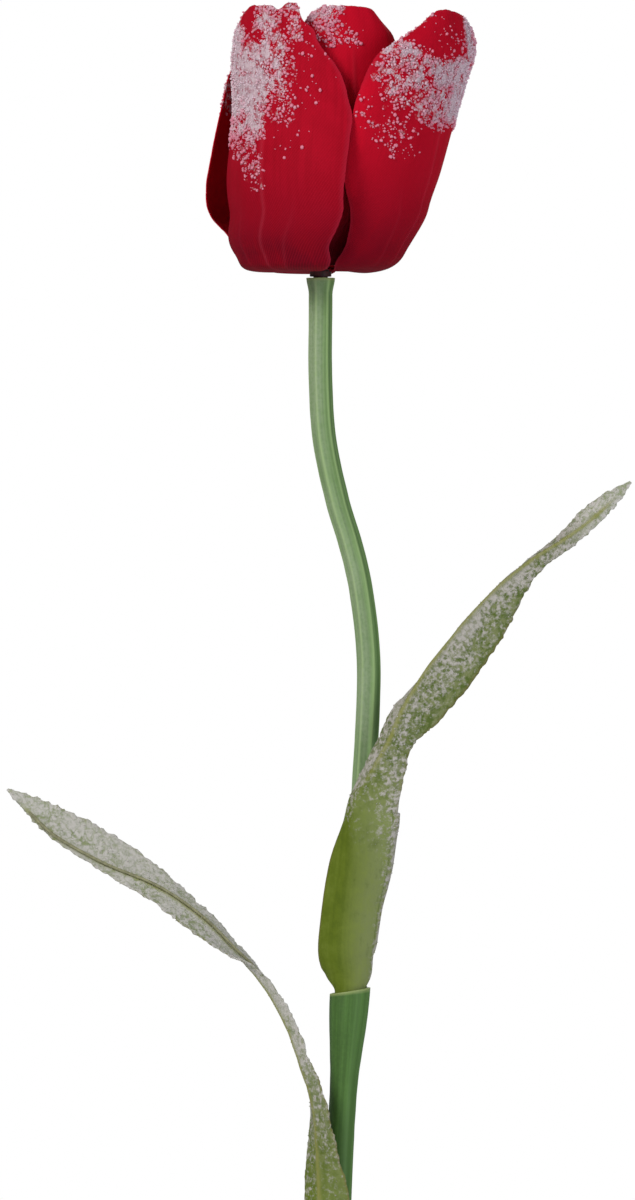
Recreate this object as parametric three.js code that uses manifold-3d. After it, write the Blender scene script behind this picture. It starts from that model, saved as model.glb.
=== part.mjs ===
// Artificial tulip on a bendable wired stem: three threaded stem tubes, two wired
// fabric leaves and a head of six fabric petals round a pistil and six stamens.
// Millimetres, +Z up. The origin is the centre of the stem's lower end, and the
// flower is seen from the front by looking along +Y.
import * as THREE from 'three';
import { mergeVertices } from 'three/addons/utils/BufferGeometryUtils.js';
import Module from 'manifold-3d';

const wasm = await Module();
wasm.setup();

// Overall sizes
const stemHeight = 419.4;
const stemSway = 7.2;
const headHeight = 59.2;
const headRadius = 24.4;
const headShift = 3.1;
const seatGap = 0.3;
const joinOverlap = 0.5;

// Core wire
const wireRadius = 0.8;
const wireSides = 8;
const wireSteps = 44;

// Stem tubes, each flared at its top to take the next tube and the foot of a leaf
const lowerTubeRadius = 3.4;
const middleTubeRadius = 3.0;
const upperTubeRadius = 2.5;
const tubeWall = 0.5;
const tubeSides = 24;
const boreRadius = wireRadius + seatGap;
const lowerNodeHeight = 190;
const upperNodeHeight = 261;
const nodeFlareLength = 24;
const spigotDepth = 7;
const topFlareRadius = 3.2;
const topFlareLength = 3.6;
const ribHeight = 0.16;
const ribCount = 6;

// Leaf feet and the collars that carry them inside the flares
const leafThickness = 0.5;
const leafInnerGap = 0.55;
const leafOuterGap = 0.4;
const leafTuck = 0.8;
const collarHeight = 1.2;
const collarWall = 0.45;
const mouthSlant = 0.45;
const mouthSlantLength = 5;
const leafWireRadius = 0.32;

// Leaves, measured from the node that holds each of them
const upperLeafRise = 113;
const upperLeafReach = 62.3;
const upperLeafDepth = 12;
const upperLeafFlange = 10;
const lowerLeafRise = 115.8;
const lowerLeafReach = 70.5;
const lowerLeafDepth = 10;
const lowerLeafFlange = 9;

// Head
const petalThickness = 0.6;
const innerPetalRadius = 20.5;
const plugWall = 0.5;
const plugDepth = 8;
const plugRadius = boreRadius + plugWall;
const plugSocketRadius = plugRadius + seatGap;
const shoulderRadius = 2.4;
const shoulderHeight = 1.1;
const clawRadius = 3.1;
const clawGap = 0.4;
const coreRadius = 1.9;
const dishRadius = 5.6;
const dishHeight = 2.6;
const pistilRadius = 1.9;
const pistilHeight = 25;
const pistilSeatDepth = 1.2;
const stamenCount = 6;
const stamenRing = 4.1;
const stamenHeight = 27;
const stamenLean = 4;
const filamentRadius = 0.5;
const antherRadius = 1.25;
const stamenSeatDepth = 1.4;

const turn = 2 * Math.PI;
const radians = THREE.MathUtils.degToRad;
const group = new THREE.Group();

// Materials
const moulded = (color, roughness) => new THREE.MeshStandardMaterial({ color, roughness, metalness: 0 });
const fabric = (color) => new THREE.MeshStandardMaterial({ color, roughness: 0.85, metalness: 0, side: 2 });
const steel = new THREE.MeshStandardMaterial({ color: '#7d7f80', roughness: 0.4, metalness: 1 });

function addPiece(name, geometry, material) {
  const mesh = new THREE.Mesh(geometry, material);
  mesh.name = name;
  group.add(mesh);
}

// A closed surface from a list of vertices and triangles, turned to face outwards.
function closedGeometry(points, triangles) {
  let volume = 0;
  for (const [a, b, c] of triangles) {
    volume += points[a].dot(new THREE.Vector3().crossVectors(points[b], points[c]));
  }
  const facing = volume < 0 ? triangles.map(([a, b, c]) => [a, c, b]) : triangles;
  const geometry = new THREE.BufferGeometry();
  geometry.setFromPoints(points);
  geometry.setIndex(facing.flat());
  return geometry;
}

// Rings of equal length joined one to the next. An open run of rings is capped at both
// ends; a closed one comes back to its first ring, as a tube's outside and bore do.
function ringSolid(rings, closed) {
  const sides = rings[0].length;
  const points = rings.flat();
  const triangles = [];
  const spans = closed ? rings.length : rings.length - 1;
  for (let i = 0; i < spans; i++) {
    const next = (i + 1) % rings.length;
    for (let j = 0; j < sides; j++) {
      const k = (j + 1) % sides;
      triangles.push([i * sides + j, i * sides + k, next * sides + k]);
      triangles.push([i * sides + j, next * sides + k, next * sides + j]);
    }
  }
  if (!closed) {
    for (const [ring, flip] of [[0, true], [rings.length - 1, false]]) {
      const centre = new THREE.Vector3();
      for (const point of rings[ring]) centre.add(point);
      const hub = points.push(centre.divideScalar(sides)) - 1;
      for (let j = 0; j < sides; j++) {
        const a = ring * sides + j;
        const b = ring * sides + ((j + 1) % sides);
        triangles.push(flip ? [hub, b, a] : [hub, a, b]);
      }
    }
  }
  return closedGeometry(points, triangles);
}

// A thin sheet of even thickness over a grid of surface points.
function sheetSolid(grid, thickness) {
  const rows = grid.length;
  const columns = grid[0].length;
  const at = (i, j) => grid[THREE.MathUtils.clamp(i, 0, rows - 1)][THREE.MathUtils.clamp(j, 0, columns - 1)];
  const faces = [[], []];
  for (let i = 0; i < rows; i++) {
    for (let j = 0; j < columns; j++) {
      const along = at(i + 1, j).clone().sub(at(i - 1, j));
      const across = at(i, j + 1).clone().sub(at(i, j - 1));
      const normal = along.cross(across).normalize().multiplyScalar(thickness / 2);
      faces[0].push(grid[i][j].clone().add(normal));
      faces[1].push(grid[i][j].clone().sub(normal));
    }
  }
  const back = rows * columns;
  const triangles = [];
  const quad = (a, b, c, d) => triangles.push([a, b, c], [a, c, d]);
  for (let i = 0; i < rows - 1; i++) {
    for (let j = 0; j < columns - 1; j++) {
      const a = i * columns + j;
      const b = a + columns;
      quad(a, b, b + 1, a + 1);
      quad(back + a, back + a + 1, back + b + 1, back + b);
    }
  }
  const rim = [];
  for (let j = 0; j < columns - 1; j++) rim.push(j);
  for (let i = 0; i < rows - 1; i++) rim.push(i * columns + columns - 1);
  for (let j = columns - 1; j > 0; j--) rim.push((rows - 1) * columns + j);
  for (let i = rows - 1; i > 0; i--) rim.push(i * columns);
  rim.forEach((a, k) => {
    const b = rim[(k + 1) % rim.length];
    quad(a, b, back + b, back + a);
  });
  return closedGeometry(faces.flat(), triangles);
}

// Solids for the boolean cuts and joins, and back to three's geometry.
function toManifold(geometry) {
  const bare = geometry.clone();
  bare.deleteAttribute('normal');
  bare.deleteAttribute('uv');
  const merged = mergeVertices(bare);
  return new wasm.Manifold(new wasm.Mesh({
    numProp: 3,
    vertProperties: new Float32Array(merged.attributes.position.array),
    triVerts: new Uint32Array(merged.index.array),
  }));
}

function toGeometry(solid) {
  const mesh = solid.getMesh();
  const geometry = new THREE.BufferGeometry();
  geometry.setAttribute('position', new THREE.BufferAttribute(new Float32Array(mesh.vertProperties), 3));
  geometry.setIndex(new THREE.BufferAttribute(new Uint32Array(mesh.triVerts), 1));
  return geometry;
}

// Smooth values between the rows of a table: cubic, passing through every row.
function tableAt(table, share) {
  const place = share * (table.length - 1);
  const i = Math.min(Math.floor(place), table.length - 2);
  const f = place - i;
  const row = (k) => table[THREE.MathUtils.clamp(k, 0, table.length - 1)];
  return table[0].map((_, c) => {
    const [p0, p1, p2, p3] = [row(i - 1)[c], row(i)[c], row(i + 1)[c], row(i + 2)[c]];
    const slope1 = (p2 - p0) / 2;
    const slope2 = (p3 - p1) / 2;
    const drop = p1 - p2;
    return p1 + f * (slope1 + f * (-3 * drop - 2 * slope1 - slope2 + f * (2 * drop + slope1 + slope2)));
  });
}

// Stem line: height and sideways place, as shares of the stem's height and sway
const stemLineShares = [
  [0, 0], [0.25, 0], [0.42, 0], [0.48, 0.01], [0.53, 0.1], [0.57, 0.232], [0.6, 0.35], [0.63, 0.468],
  [0.68, 0.66], [0.73, 0.852], [0.77, 0.985], [0.8, 1], [0.838, 0.74], [0.86, 0.43], [0.881, 0.06],
  [0.914, -0.35], [0.945, -0.475], [0.985, -0.475], [1, -0.475],
];
const stemCurve = new THREE.CatmullRomCurve3(
  stemLineShares.map(([up, side]) => new THREE.Vector3(side * stemSway, 0, up * stemHeight)),
);

// The stem's centre and direction at a height, found on the curve by halving.
function stemAt(height) {
  let low = 0;
  let high = 1;
  const halvings = 40;
  for (let k = 0; k < halvings; k++) {
    const middle = (low + high) / 2;
    if (stemCurve.getPoint(middle).z < height) low = middle;
    else high = middle;
  }
  const centre = stemCurve.getPoint(low);
  centre.z = height;
  return { centre, direction: stemCurve.getTangent(low) };
}

// A ring round the stem line and square to it, of one radius or one per angle. A slant
// raises the ring along the stem on its right side and lowers it on its left.
function stemRing(height, radiusAt, sides, slant = 0) {
  const { centre, direction } = stemAt(height);
  const right = new THREE.Vector3(0, 1, 0).cross(direction).normalize();
  return Array.from({ length: sides }, (_, j) => {
    const angle = (j / sides) * turn;
    const radius = radiusAt(angle);
    return centre.clone()
      .addScaledVector(right, radius * Math.cos(angle))
      .addScaledVector(direction, slant * Math.cos(angle))
      .add(new THREE.Vector3(0, radius * Math.sin(angle), 0));
  });
}

const smooth = (share) => THREE.MathUtils.smoothstep(share, 0, 1);

// A stem tube: its outside swells to the flare at the top, and its bore steps out to
// a socket for the next tube and to a seat for the collar and the leaf's foot.
function stemTube({ bottom, top, radius, flare, flareLength, steps, bore, ribs, slant = 0 }) {
  const outside = (height) => radius + (flare - radius) * smooth(1 - (top - height) / flareLength);
  const rib = (angle) => (ribs ? ribHeight * Math.cos(ribCount * angle) : 0);
  const slantAt = (height) => slant * Math.max(0, 1 - (top - height) / mouthSlantLength);
  const heights = [];
  const flareStart = top - flareLength;
  const flareSteps = 6;
  for (let i = 0; i < steps; i++) heights.push(bottom + ((flareStart - bottom) * i) / steps);
  for (let i = 0; i <= flareSteps; i++) heights.push(flareStart + (flareLength * i) / flareSteps);
  const rings = heights.map((h) => stemRing(h, (angle) => outside(h) + rib(angle), tubeSides, slantAt(h)));
  const boreRings = [];
  bore.forEach(([height, boreRadiusHere], i) => {
    const mouth = i === 0 ? slant : 0;
    boreRings.push(stemRing(height, () => boreRadiusHere, tubeSides, mouth));
    const below = bore[i + 1];
    if (below && below[1] === boreRadiusHere) {
      const cuts = Math.max(1, Math.round(((height - below[0]) / (top - bottom)) * steps));
      for (let k = 1; k < cuts; k++) {
        const h = height + ((below[0] - height) * k) / cuts;
        boreRings.push(stemRing(h, () => boreRadiusHere, tubeSides));
      }
    }
  });
  return ringSolid([...rings, ...boreRings], true);
}

// The space round a tube at the mouth of the flare below it
const mouthRadius = (tubeRadius) => tubeRadius + leafInnerGap + leafThickness + leafOuterGap;
const sheathRadius = (tubeRadius) => tubeRadius + leafInnerGap + leafThickness / 2;
const collarOuter = (tubeRadius) => tubeRadius + seatGap + collarWall;
const seatDepth = leafTuck + seatGap + collarHeight + seatGap;

// Heights and radii down the bore of a tube that carries another tube and a leaf
function nodeBore(top, bottom, nextRadius) {
  const socket = nextRadius + seatGap;
  const floor = top - seatDepth - spigotDepth - seatGap;
  return [
    [top, mouthRadius(nextRadius)],
    [top - seatDepth, collarOuter(nextRadius) + seatGap],
    [top - seatDepth, socket],
    [floor, socket],
    [floor, boreRadius],
    [bottom, boreRadius],
  ];
}

const stemGreen = moulded('#6f8f62', 0.55);
const lowerTubeTop = lowerNodeHeight;
const middleTubeTop = upperNodeHeight;
const middleTubeBottom = lowerTubeTop - seatDepth - spigotDepth;
const upperTubeBottom = middleTubeTop - seatDepth - spigotDepth;

addPiece('lower_stem_tube', stemTube({
  bottom: 0,
  top: lowerTubeTop,
  radius: lowerTubeRadius,
  flare: mouthRadius(middleTubeRadius) + tubeWall,
  flareLength: nodeFlareLength,
  steps: 5,
  bore: nodeBore(lowerTubeTop, 0, middleTubeRadius),
  slant: -mouthSlant,
}), stemGreen);

addPiece('middle_stem_tube', stemTube({
  bottom: middleTubeBottom,
  top: middleTubeTop,
  radius: middleTubeRadius,
  flare: mouthRadius(upperTubeRadius) + tubeWall,
  flareLength: nodeFlareLength,
  steps: 5,
  bore: nodeBore(middleTubeTop, middleTubeBottom, upperTubeRadius),
  slant: mouthSlant,
}), stemGreen);

addPiece('upper_stem_tube', stemTube({
  bottom: upperTubeBottom,
  top: stemHeight,
  radius: upperTubeRadius,
  flare: topFlareRadius,
  flareLength: topFlareLength,
  steps: 24,
  ribs: true,
  bore: [
    [stemHeight, plugSocketRadius],
    [stemHeight - plugDepth - seatGap, plugSocketRadius],
    [stemHeight - plugDepth - seatGap, boreRadius],
    [upperTubeBottom, boreRadius],
  ],
}), stemGreen);

// The wire runs from the cut end of the stem into the bore of the head's plug.
const headBase = stemHeight + seatGap + shoulderHeight;
const wireTop = headBase + seatGap;
function coreWire() {
  const rings = [];
  for (let i = 0; i <= wireSteps; i++) {
    const height = (wireTop * i) / wireSteps;
    const level = Math.min(height, stemHeight);
    const ring = stemRing(level, () => wireRadius, wireSides);
    for (const point of ring) point.z = height;
    rings.push(ring);
  }
  return ringSolid(rings, false);
}
addPiece('core_wire', coreWire(), steel);

// A moulded ring, threaded on a tube inside the flare, that carries the leaf's foot
function leafCollar(node, tubeRadius) {
  const bottom = node - seatDepth + seatGap;
  const top = bottom + collarHeight;
  const inner = tubeRadius + seatGap;
  const outer = collarOuter(tubeRadius);
  const profile = [[bottom, outer], [top, outer], [top, inner], [bottom, inner]];
  return ringSolid(profile.map(([height, radius]) => stemRing(height, () => radius, tubeSides)), true);
}
addPiece('lower_leaf_collar', leafCollar(lowerNodeHeight, middleTubeRadius), moulded('#5f7f4c', 0.5));
addPiece('upper_leaf_collar', leafCollar(upperNodeHeight, upperTubeRadius), moulded('#5f7f4c', 0.5));

// A leaf is two flanges on a midrib. Each row of its table gives, as shares of the leaf's
// rise, reach, depth and flange, where the midrib is and how wide each flange is, with
// the angle in degrees at which the flange leaves the midrib (0 to the right of the
// midrib's own direction, 90 towards the front) and the angle that both cup through.
const upperLeafShares = [
  [0, 0, 0, 0.39, 0, 0.39, -180, 70],
  [0.045, 0.003, 0.02, 0.58, 0, 0.73, -180, 62],
  [0.09, -0.01, 0.1, 0.76, 0, 0.8, -180, 50],
  [0.174, 0, 0.24, 0.8, 0, 0.72, -178, 45],
  [0.257, 0.018, 0.42, 0.9, 0, 0.7, -165, 36],
  [0.33, 0.014, 0.58, 1.02, 0, 0.66, -126, 22],
  [0.385, 0.011, 0.6, 1.08, 2, 0.62, -104, 20],
  [0.452, 0.064, 0.6, 0.88, 4, 0.62, -105, 12],
  [0.505, 0.122, 0.58, 0.68, -10, 0.62, -105, 10],
  [0.56, 0.185, 0.54, 0.82, -10, 0.56, -106, 10],
  [0.64, 0.278, 0.45, 0.98, -2, 0.4, -90, 12],
  [0.72, 0.395, 0.36, 0.93, -2, 0.36, -90, 12],
  [0.775, 0.486, 0.28, 0.77, -2, 0.32, -94, 10],
  [0.82, 0.577, 0.22, 0.5, -6, 0.28, -98, 8],
  [0.858, 0.673, 0.16, 0.28, -10, 0.28, -106, 6],
  [0.89, 0.768, 0.12, 0.24, -8, 0.32, -125, 6],
  [0.925, 0.856, 0.08, 0.17, 0, 0.36, -150, 8],
  [0.962, 0.932, 0.04, 0.12, 0, 0.26, -165, 8],
  [1, 1, 0, 0.03, 0, 0.03, -165, 0],
];
const lowerLeafShares = [
  [0, 0, 0, 0.5, 40, 0.5, -140, 70],
  [0.11, 0.006, 0.06, 0.62, 32, 0.5, -146, 55],
  [0.216, 0.017, 0.16, 0.76, 22, 0.44, -158, 26],
  [0.312, 0.023, 0.22, 0.62, 46, 0.5, -130, 20],
  [0.4, 0.037, 0.28, 0.55, 58, 0.48, -104, 16],
  [0.476, 0.076, 0.3, 0.52, 90, 0.43, -64, 14],
  [0.569, 0.133, 0.28, 0.48, 98, 0.46, -62, 14],
  [0.643, 0.21, 0.28, 0.42, 100, 0.46, -70, 14],
  [0.697, 0.294, 0.28, 0.44, 126, 0.42, -68, 14],
  [0.758, 0.397, 0.26, 0.54, 140, 0.42, -58, 12],
  [0.813, 0.53, 0.22, 0.42, 145, 0.56, -45, 12],
  [0.858, 0.7, 0.14, 0.18, 152, 0.8, -25, 10],
  [0.91, 0.85, 0.07, 0.07, 165, 0.74, -15, 10],
  [0.956, 0.932, 0.03, 0.05, 170, 0.46, -10, 6],
  [1, 1, 0, 0.03, 175, 0.03, -5, 0],
];
const lowerLeafFacing = -40;
const upperLeafFacing = 0;

const lowerLeaf = {
  node: lowerNodeHeight,
  tubeRadius: middleTubeRadius,
  facing: lowerLeafFacing,
  rise: lowerLeafRise,
  reach: -lowerLeafReach,
  depth: lowerLeafDepth,
  flange: lowerLeafFlange,
  table: lowerLeafShares,
};
const upperLeaf = {
  node: upperNodeHeight,
  tubeRadius: upperTubeRadius,
  facing: upperLeafFacing,
  rise: upperLeafRise,
  reach: upperLeafReach,
  depth: upperLeafDepth,
  flange: upperLeafFlange,
  table: upperLeafShares,
};

function leafMidrib(leaf, share) {
  const [up, out, front] = tableAt(leaf.table, share);
  const { centre } = stemAt(leaf.node);
  const radius = sheathRadius(leaf.tubeRadius);
  return new THREE.Vector3(
    centre.x + radius * Math.sin(radians(leaf.facing)) + out * leaf.reach,
    -radius * Math.cos(radians(leaf.facing)) - front * leaf.depth,
    leaf.node - leafTuck + up * (leaf.rise + leafTuck),
  );
}

// The midrib's point with the two directions that its section is drawn in
function leafFrame(leaf, share) {
  const step = 0.004;
  const ahead = leafMidrib(leaf, Math.min(share + step, 1));
  const behind = leafMidrib(leaf, Math.max(share - step, 0));
  const along = ahead.sub(behind).normalize();
  const side = new THREE.Vector3(0, 1, 0).cross(along).normalize();
  const front = new THREE.Vector3().crossVectors(side, along).normalize();
  return { point: leafMidrib(leaf, share), side, front };
}

// A point on a flange: an arc that leaves the midrib at one angle and turns through cup.
function flangePoint({ point, side, front }, width, angle, cup, share) {
  const turned = cup * share;
  const right = (width / cup) * (Math.sin(angle + turned) - Math.sin(angle));
  const ahead = (width / cup) * (Math.cos(angle) - Math.cos(angle + turned));
  return point.clone().addScaledVector(side, right).addScaledVector(front, ahead);
}

function leafBlade(leaf) {
  const columns = 4;
  const rowsPerStation = 2;
  const rows = (leaf.table.length - 1) * rowsPerStation;
  const leastCup = 0.5;
  const grid = [];
  for (let i = 0; i <= rows; i++) {
    const share = i / rows;
    const [, , , rightWidth, rightAngle, leftWidth, leftAngle, cup] = tableAt(leaf.table, share);
    const frame = leafFrame(leaf, share);
    const bend = radians(Math.max(cup, leastCup));
    const row = [];
    for (let j = columns; j > 0; j--) {
      row.push(flangePoint(frame, leftWidth * leaf.flange, radians(leftAngle), bend, j / columns));
    }
    row.push(frame.point);
    for (let j = 1; j <= columns; j++) {
      row.push(flangePoint(frame, rightWidth * leaf.flange, radians(rightAngle), -bend, j / columns));
    }
    grid.push(row);
  }
  return sheetSolid(grid, leafThickness);
}

// The leaf's wire lies along the midrib on the inner side, clear of both flanges.
function leafWire(leaf) {
  const sides = 6;
  const steps = 36;
  const startShare = 0.14;
  const endShare = 0.93;
  const reach = leafWireRadius + seatGap + leafThickness / 2;
  const centres = [];
  for (let i = 0; i <= steps; i++) {
    const share = THREE.MathUtils.lerp(startShare, endShare, i / steps);
    const [, , , , rightAngle, , leftAngle] = tableAt(leaf.table, share);
    const opening = Math.min(radians(rightAngle - leftAngle) / 2, Math.PI / 2);
    const middle = radians(leftAngle) + opening;
    const { point, side, front } = leafFrame(leaf, share);
    const away = reach / Math.sin(opening);
    point.addScaledVector(side, away * Math.cos(middle)).addScaledVector(front, away * Math.sin(middle));
    centres.push(point);
  }
  const curve = new THREE.CatmullRomCurve3(centres);
  const frames = curve.computeFrenetFrames(steps, false);
  const rings = frames.normals.map((normal, i) => {
    const centre = curve.getPointAt(i / steps);
    return Array.from({ length: sides }, (_, j) => {
      const angle = (j / sides) * turn;
      return centre.clone()
        .addScaledVector(normal, leafWireRadius * Math.cos(angle))
        .addScaledVector(frames.binormals[i], leafWireRadius * Math.sin(angle));
    });
  });
  return ringSolid(rings, false);
}

addPiece('lower_leaf_blade', leafBlade(lowerLeaf), fabric('#8b9374'));
addPiece('lower_leaf_wire', leafWire(lowerLeaf), moulded('#7a7440', 0.6));
addPiece('upper_leaf_blade', leafBlade(upperLeaf), fabric('#74803f'));
addPiece('upper_leaf_wire', leafWire(upperLeaf), moulded('#93963f', 0.6));

// Petal profiles: radius and height from claw to tip, as shares of the petal's radius
// and of the head's height. The first point is the claw's, in its own named sizes.
const closedProfileShares = [
  [0.4, -0.012], [0.7, 0], [0.8, 0.055], [0.93, 0.16], [1, 0.34], [0.955, 0.58], [0.965, 0.76], [0.95, 0.89],
  [0.91, 1],
];
const leaningProfileShares = [
  [0.44, -0.012], [0.67, 0.016], [0.79, 0.09], [0.845, 0.235], [0.95, 0.37], [1.06, 0.54], [1.17, 0.7],
  [1.26, 0.85], [1.2, 0.985],
];
const bulgingProfileShares = [
  [0.42, -0.012], [0.7, 0.035], [0.91, 0.13], [1.13, 0.215], [1.165, 0.32], [1.095, 0.49], [1.02, 0.67],
  [0.99, 0.8], [0.9, 0.94],
];
const innerProfileShares = [
  [0.34, 0.006], [0.52, 0.04], [0.68, 0.14], [0.84, 0.32], [0.95, 0.5], [1, 0.68], [0.99, 0.8], [0.94, 0.91],
  [0.86, 0.99],
];

// How wide a petal is along its length, as a share of its greatest span
const broadSpanShares = [[0.8], [0.9], [0.98], [1], [1], [1], [1], [0.94], [0.74], [0.44]];
const roundSpanShares = [[0.8], [0.84], [0.88], [0.84], [0.94], [1], [1], [0.91], [0.75], [0.32]];
const innerSpanShares = [[0.72], [0.74], [0.84], [0.93], [0.99], [1], [0.95], [0.84], [0.7], [0.4]];

// Facing is degrees round from the front towards the right; span is half the petal's
// angle; left and right draw pull its margins in towards the head's axis; the tip share
// is the height that the petal reaches as a share of the head's.
const outerPetals = {
  outer_petal_front: {
    profile: closedProfileShares,
    spread: broadSpanShares,
    facing: -44,
    span: 51,
    leftDraw: 0.4,
    rightDraw: -0.2,
    tipShare: 1,
  },
  outer_petal_right: {
    profile: leaningProfileShares,
    spread: roundSpanShares,
    facing: 63,
    span: 54,
    leftDraw: 2.6,
    rightDraw: 0.5,
    tipShare: 1,
  },
  outer_petal_back: {
    profile: bulgingProfileShares,
    spread: roundSpanShares,
    facing: 210,
    span: 54,
    leftDraw: 0.6,
    rightDraw: 0.2,
    tipShare: 0.98,
  },
};
const innerPetals = {
  inner_petal_front: {
    profile: innerProfileShares,
    spread: innerSpanShares,
    facing: 10,
    span: 48,
    leftDraw: 1.2,
    rightDraw: 1.8,
    tipShare: 1,
  },
  inner_petal_right: {
    profile: innerProfileShares,
    spread: innerSpanShares,
    facing: 124,
    span: 48,
    leftDraw: 0.8,
    rightDraw: 0.6,
    tipShare: 0.86,
  },
  inner_petal_left: {
    profile: innerProfileShares,
    spread: innerSpanShares,
    facing: 258,
    span: 50,
    leftDraw: 0.6,
    rightDraw: 0.6,
    tipShare: 0.96,
  },
};
const headCentre = stemAt(stemHeight).centre;
const outerClawHeight = clawGap + petalThickness / 2;
const innerClawHeight = outerClawHeight + petalThickness + clawGap;
const petalSpiral = 0.45;
const marginDrop = 1.6;
const shiftStart = 4;
const shiftHeight = 10;

function petalPoint(petal, radius, clawHeight, across, along) {
  const rows = [[clawRadius, clawHeight]];
  const rise = petal.tipShare * headHeight - clawHeight;
  for (const [out, up] of petal.profile) rows.push([out * radius, clawHeight + up * rise]);
  const [out, up] = tableAt(rows, along);
  const [spread] = tableAt(petal.spread, along);
  const draw = across < 0 ? petal.leftDraw : petal.rightDraw;
  const opened = smooth(along / 0.35);
  const reach = out - opened * (draw * across * across - petalSpiral * across);
  const angle = radians(petal.facing + across * spread * petal.span);
  const lift = up - marginDrop * across * across * along * along;
  return new THREE.Vector3(
    headCentre.x + headShift * smooth((lift - shiftStart) / shiftHeight) + reach * Math.sin(angle),
    -reach * Math.cos(angle),
    headBase + lift,
  );
}

function petalSheet(petal, radius, clawHeight) {
  const columns = 12;
  const rows = 15;
  const grid = [];
  for (let i = 0; i <= rows; i++) {
    const row = [];
    for (let j = 0; j <= columns; j++) {
      row.push(petalPoint(petal, radius, clawHeight, (2 * j) / columns - 1, i / rows));
    }
    grid.push(row);
  }
  return sheetSolid(grid, petalThickness);
}
const petalRed = fabric('#a3142a');
for (const [name, petal] of Object.entries(outerPetals)) {
  addPiece(name, petalSheet(petal, headRadius, outerClawHeight), petalRed);
}
for (const [name, petal] of Object.entries(innerPetals)) {
  addPiece(name, petalSheet(petal, innerPetalRadius, innerClawHeight), petalRed);
}

// The receptacle: a bored plug that pushes into the stem over the wire, the shoulder
// that shows under the petals, a waist that the claws grip, and a dish with sockets.
const dishBottom = innerClawHeight + petalThickness / 2 + clawGap;
const dishTop = dishBottom + dishHeight;
function receptacle() {
  const profile = [
    [0, -shoulderHeight - plugDepth],
    [plugRadius, -shoulderHeight - plugDepth],
    [plugRadius, -shoulderHeight],
    [shoulderRadius, -shoulderHeight],
    [shoulderRadius, 0],
    [coreRadius, 0],
    [coreRadius, dishBottom],
    [dishRadius - dishHeight / 2, dishBottom],
    [dishRadius, dishTop - dishHeight / 3],
    [dishRadius, dishTop],
    [0, dishTop],
  ];
  const body = new THREE.LatheGeometry(profile.map(([r, h]) => new THREE.Vector2(r, h)), tubeSides);
  let solid = toManifold(body.rotateX(Math.PI / 2));
  const hole = (radius, bottom, top, x, y) => {
    const cylinder = new THREE.CylinderGeometry(radius, radius, top - bottom, 12);
    cylinder.rotateX(Math.PI / 2).translate(x, y, (top + bottom) / 2);
    solid = solid.subtract(toManifold(cylinder));
  };
  hole(boreRadius, -shoulderHeight - plugDepth - joinOverlap, wireTop - headBase + seatGap, 0, 0);
  hole(pistilRadius + seatGap, dishTop - pistilSeatDepth, dishTop + joinOverlap, 0, 0);
  for (let k = 0; k < stamenCount; k++) {
    const angle = (turn * k) / stamenCount;
    const [x, y] = [stamenRing * Math.cos(angle), stamenRing * Math.sin(angle)];
    hole(filamentRadius + seatGap, dishTop - stamenSeatDepth, dishTop + joinOverlap, x, y);
  }
  return toGeometry(solid).translate(headCentre.x, 0, headBase);
}
addPiece('receptacle', receptacle(), moulded('#3d1a14', 0.6));

// The pistil: a three-sided ovary that ends in a three-lobed stigma
const pistilShapeShares = [
  [0, 0.95, 0], [0.06, 0.95, 0], [0.12, 1.25, 0.08], [0.4, 1.35, 0.1], [0.7, 1.1, 0.12], [0.82, 0.85, 0.1],
  [0.88, 1.2, 0.3], [0.94, 1.75, 0.42], [0.98, 1.6, 0.4], [1, 0.9, 0.3],
];
function pistil() {
  const sides = 18;
  const foot = headBase + dishTop - pistilSeatDepth + seatGap;
  const rings = pistilShapeShares.map(([up, width, lobe]) => Array.from({ length: sides }, (_, j) => {
    const angle = (j / sides) * turn;
    const radius = pistilRadius * width * (1 + lobe * Math.cos(3 * angle));
    const [x, y] = [radius * Math.cos(angle), radius * Math.sin(angle)];
    return new THREE.Vector3(headCentre.x + x, y, foot + up * pistilHeight);
  }));
  return ringSolid(rings, false);
}
addPiece('pistil', pistil(), moulded('#8f9a4a', 0.6));

// A stamen: a thin filament that leans outwards and carries a long anther
const stamenShapeShares = [
  [0, 0], [0.15, 0], [0.4, 0], [0.6, 0], [0.64, 0.35], [0.7, 0.85], [0.8, 1], [0.92, 0.9], [0.98, 0.55],
  [1, 0.15],
];
function stamen(index) {
  const sides = 8;
  const angle = (turn * index) / stamenCount;
  const foot = headBase + dishTop - stamenSeatDepth + seatGap;
  const rings = stamenShapeShares.map(([up, swell]) => {
    const reach = stamenRing + stamenLean * up * up;
    const radius = filamentRadius + (antherRadius - filamentRadius) * swell;
    return Array.from({ length: sides }, (_, j) => {
      const around = (j / sides) * turn;
      const x = headCentre.x + reach * Math.cos(angle) + radius * Math.cos(around);
      const y = reach * Math.sin(angle) + radius * Math.sin(around);
      return new THREE.Vector3(x, y, foot + up * stamenHeight);
    });
  });
  return ringSolid(rings, false);
}
for (let k = 0; k < stamenCount; k++) addPiece(`stamen_${k + 1}`, stamen(k), moulded('#2e2220', 0.8));

export default group;
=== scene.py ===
import functools
import itertools

import bpy
import numpy as np
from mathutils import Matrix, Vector


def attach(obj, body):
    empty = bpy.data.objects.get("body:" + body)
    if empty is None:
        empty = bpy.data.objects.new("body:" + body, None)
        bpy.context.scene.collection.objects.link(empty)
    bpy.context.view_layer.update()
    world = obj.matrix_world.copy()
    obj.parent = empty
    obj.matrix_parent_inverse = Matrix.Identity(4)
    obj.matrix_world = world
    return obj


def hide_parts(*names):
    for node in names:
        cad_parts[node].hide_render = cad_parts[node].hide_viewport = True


# Shapes are worked out in millimetres and turned to metres when a mesh is made.
# +Z is up and the flower is seen from the front by looking along +Y.
metresPerMm = 0.001

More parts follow.
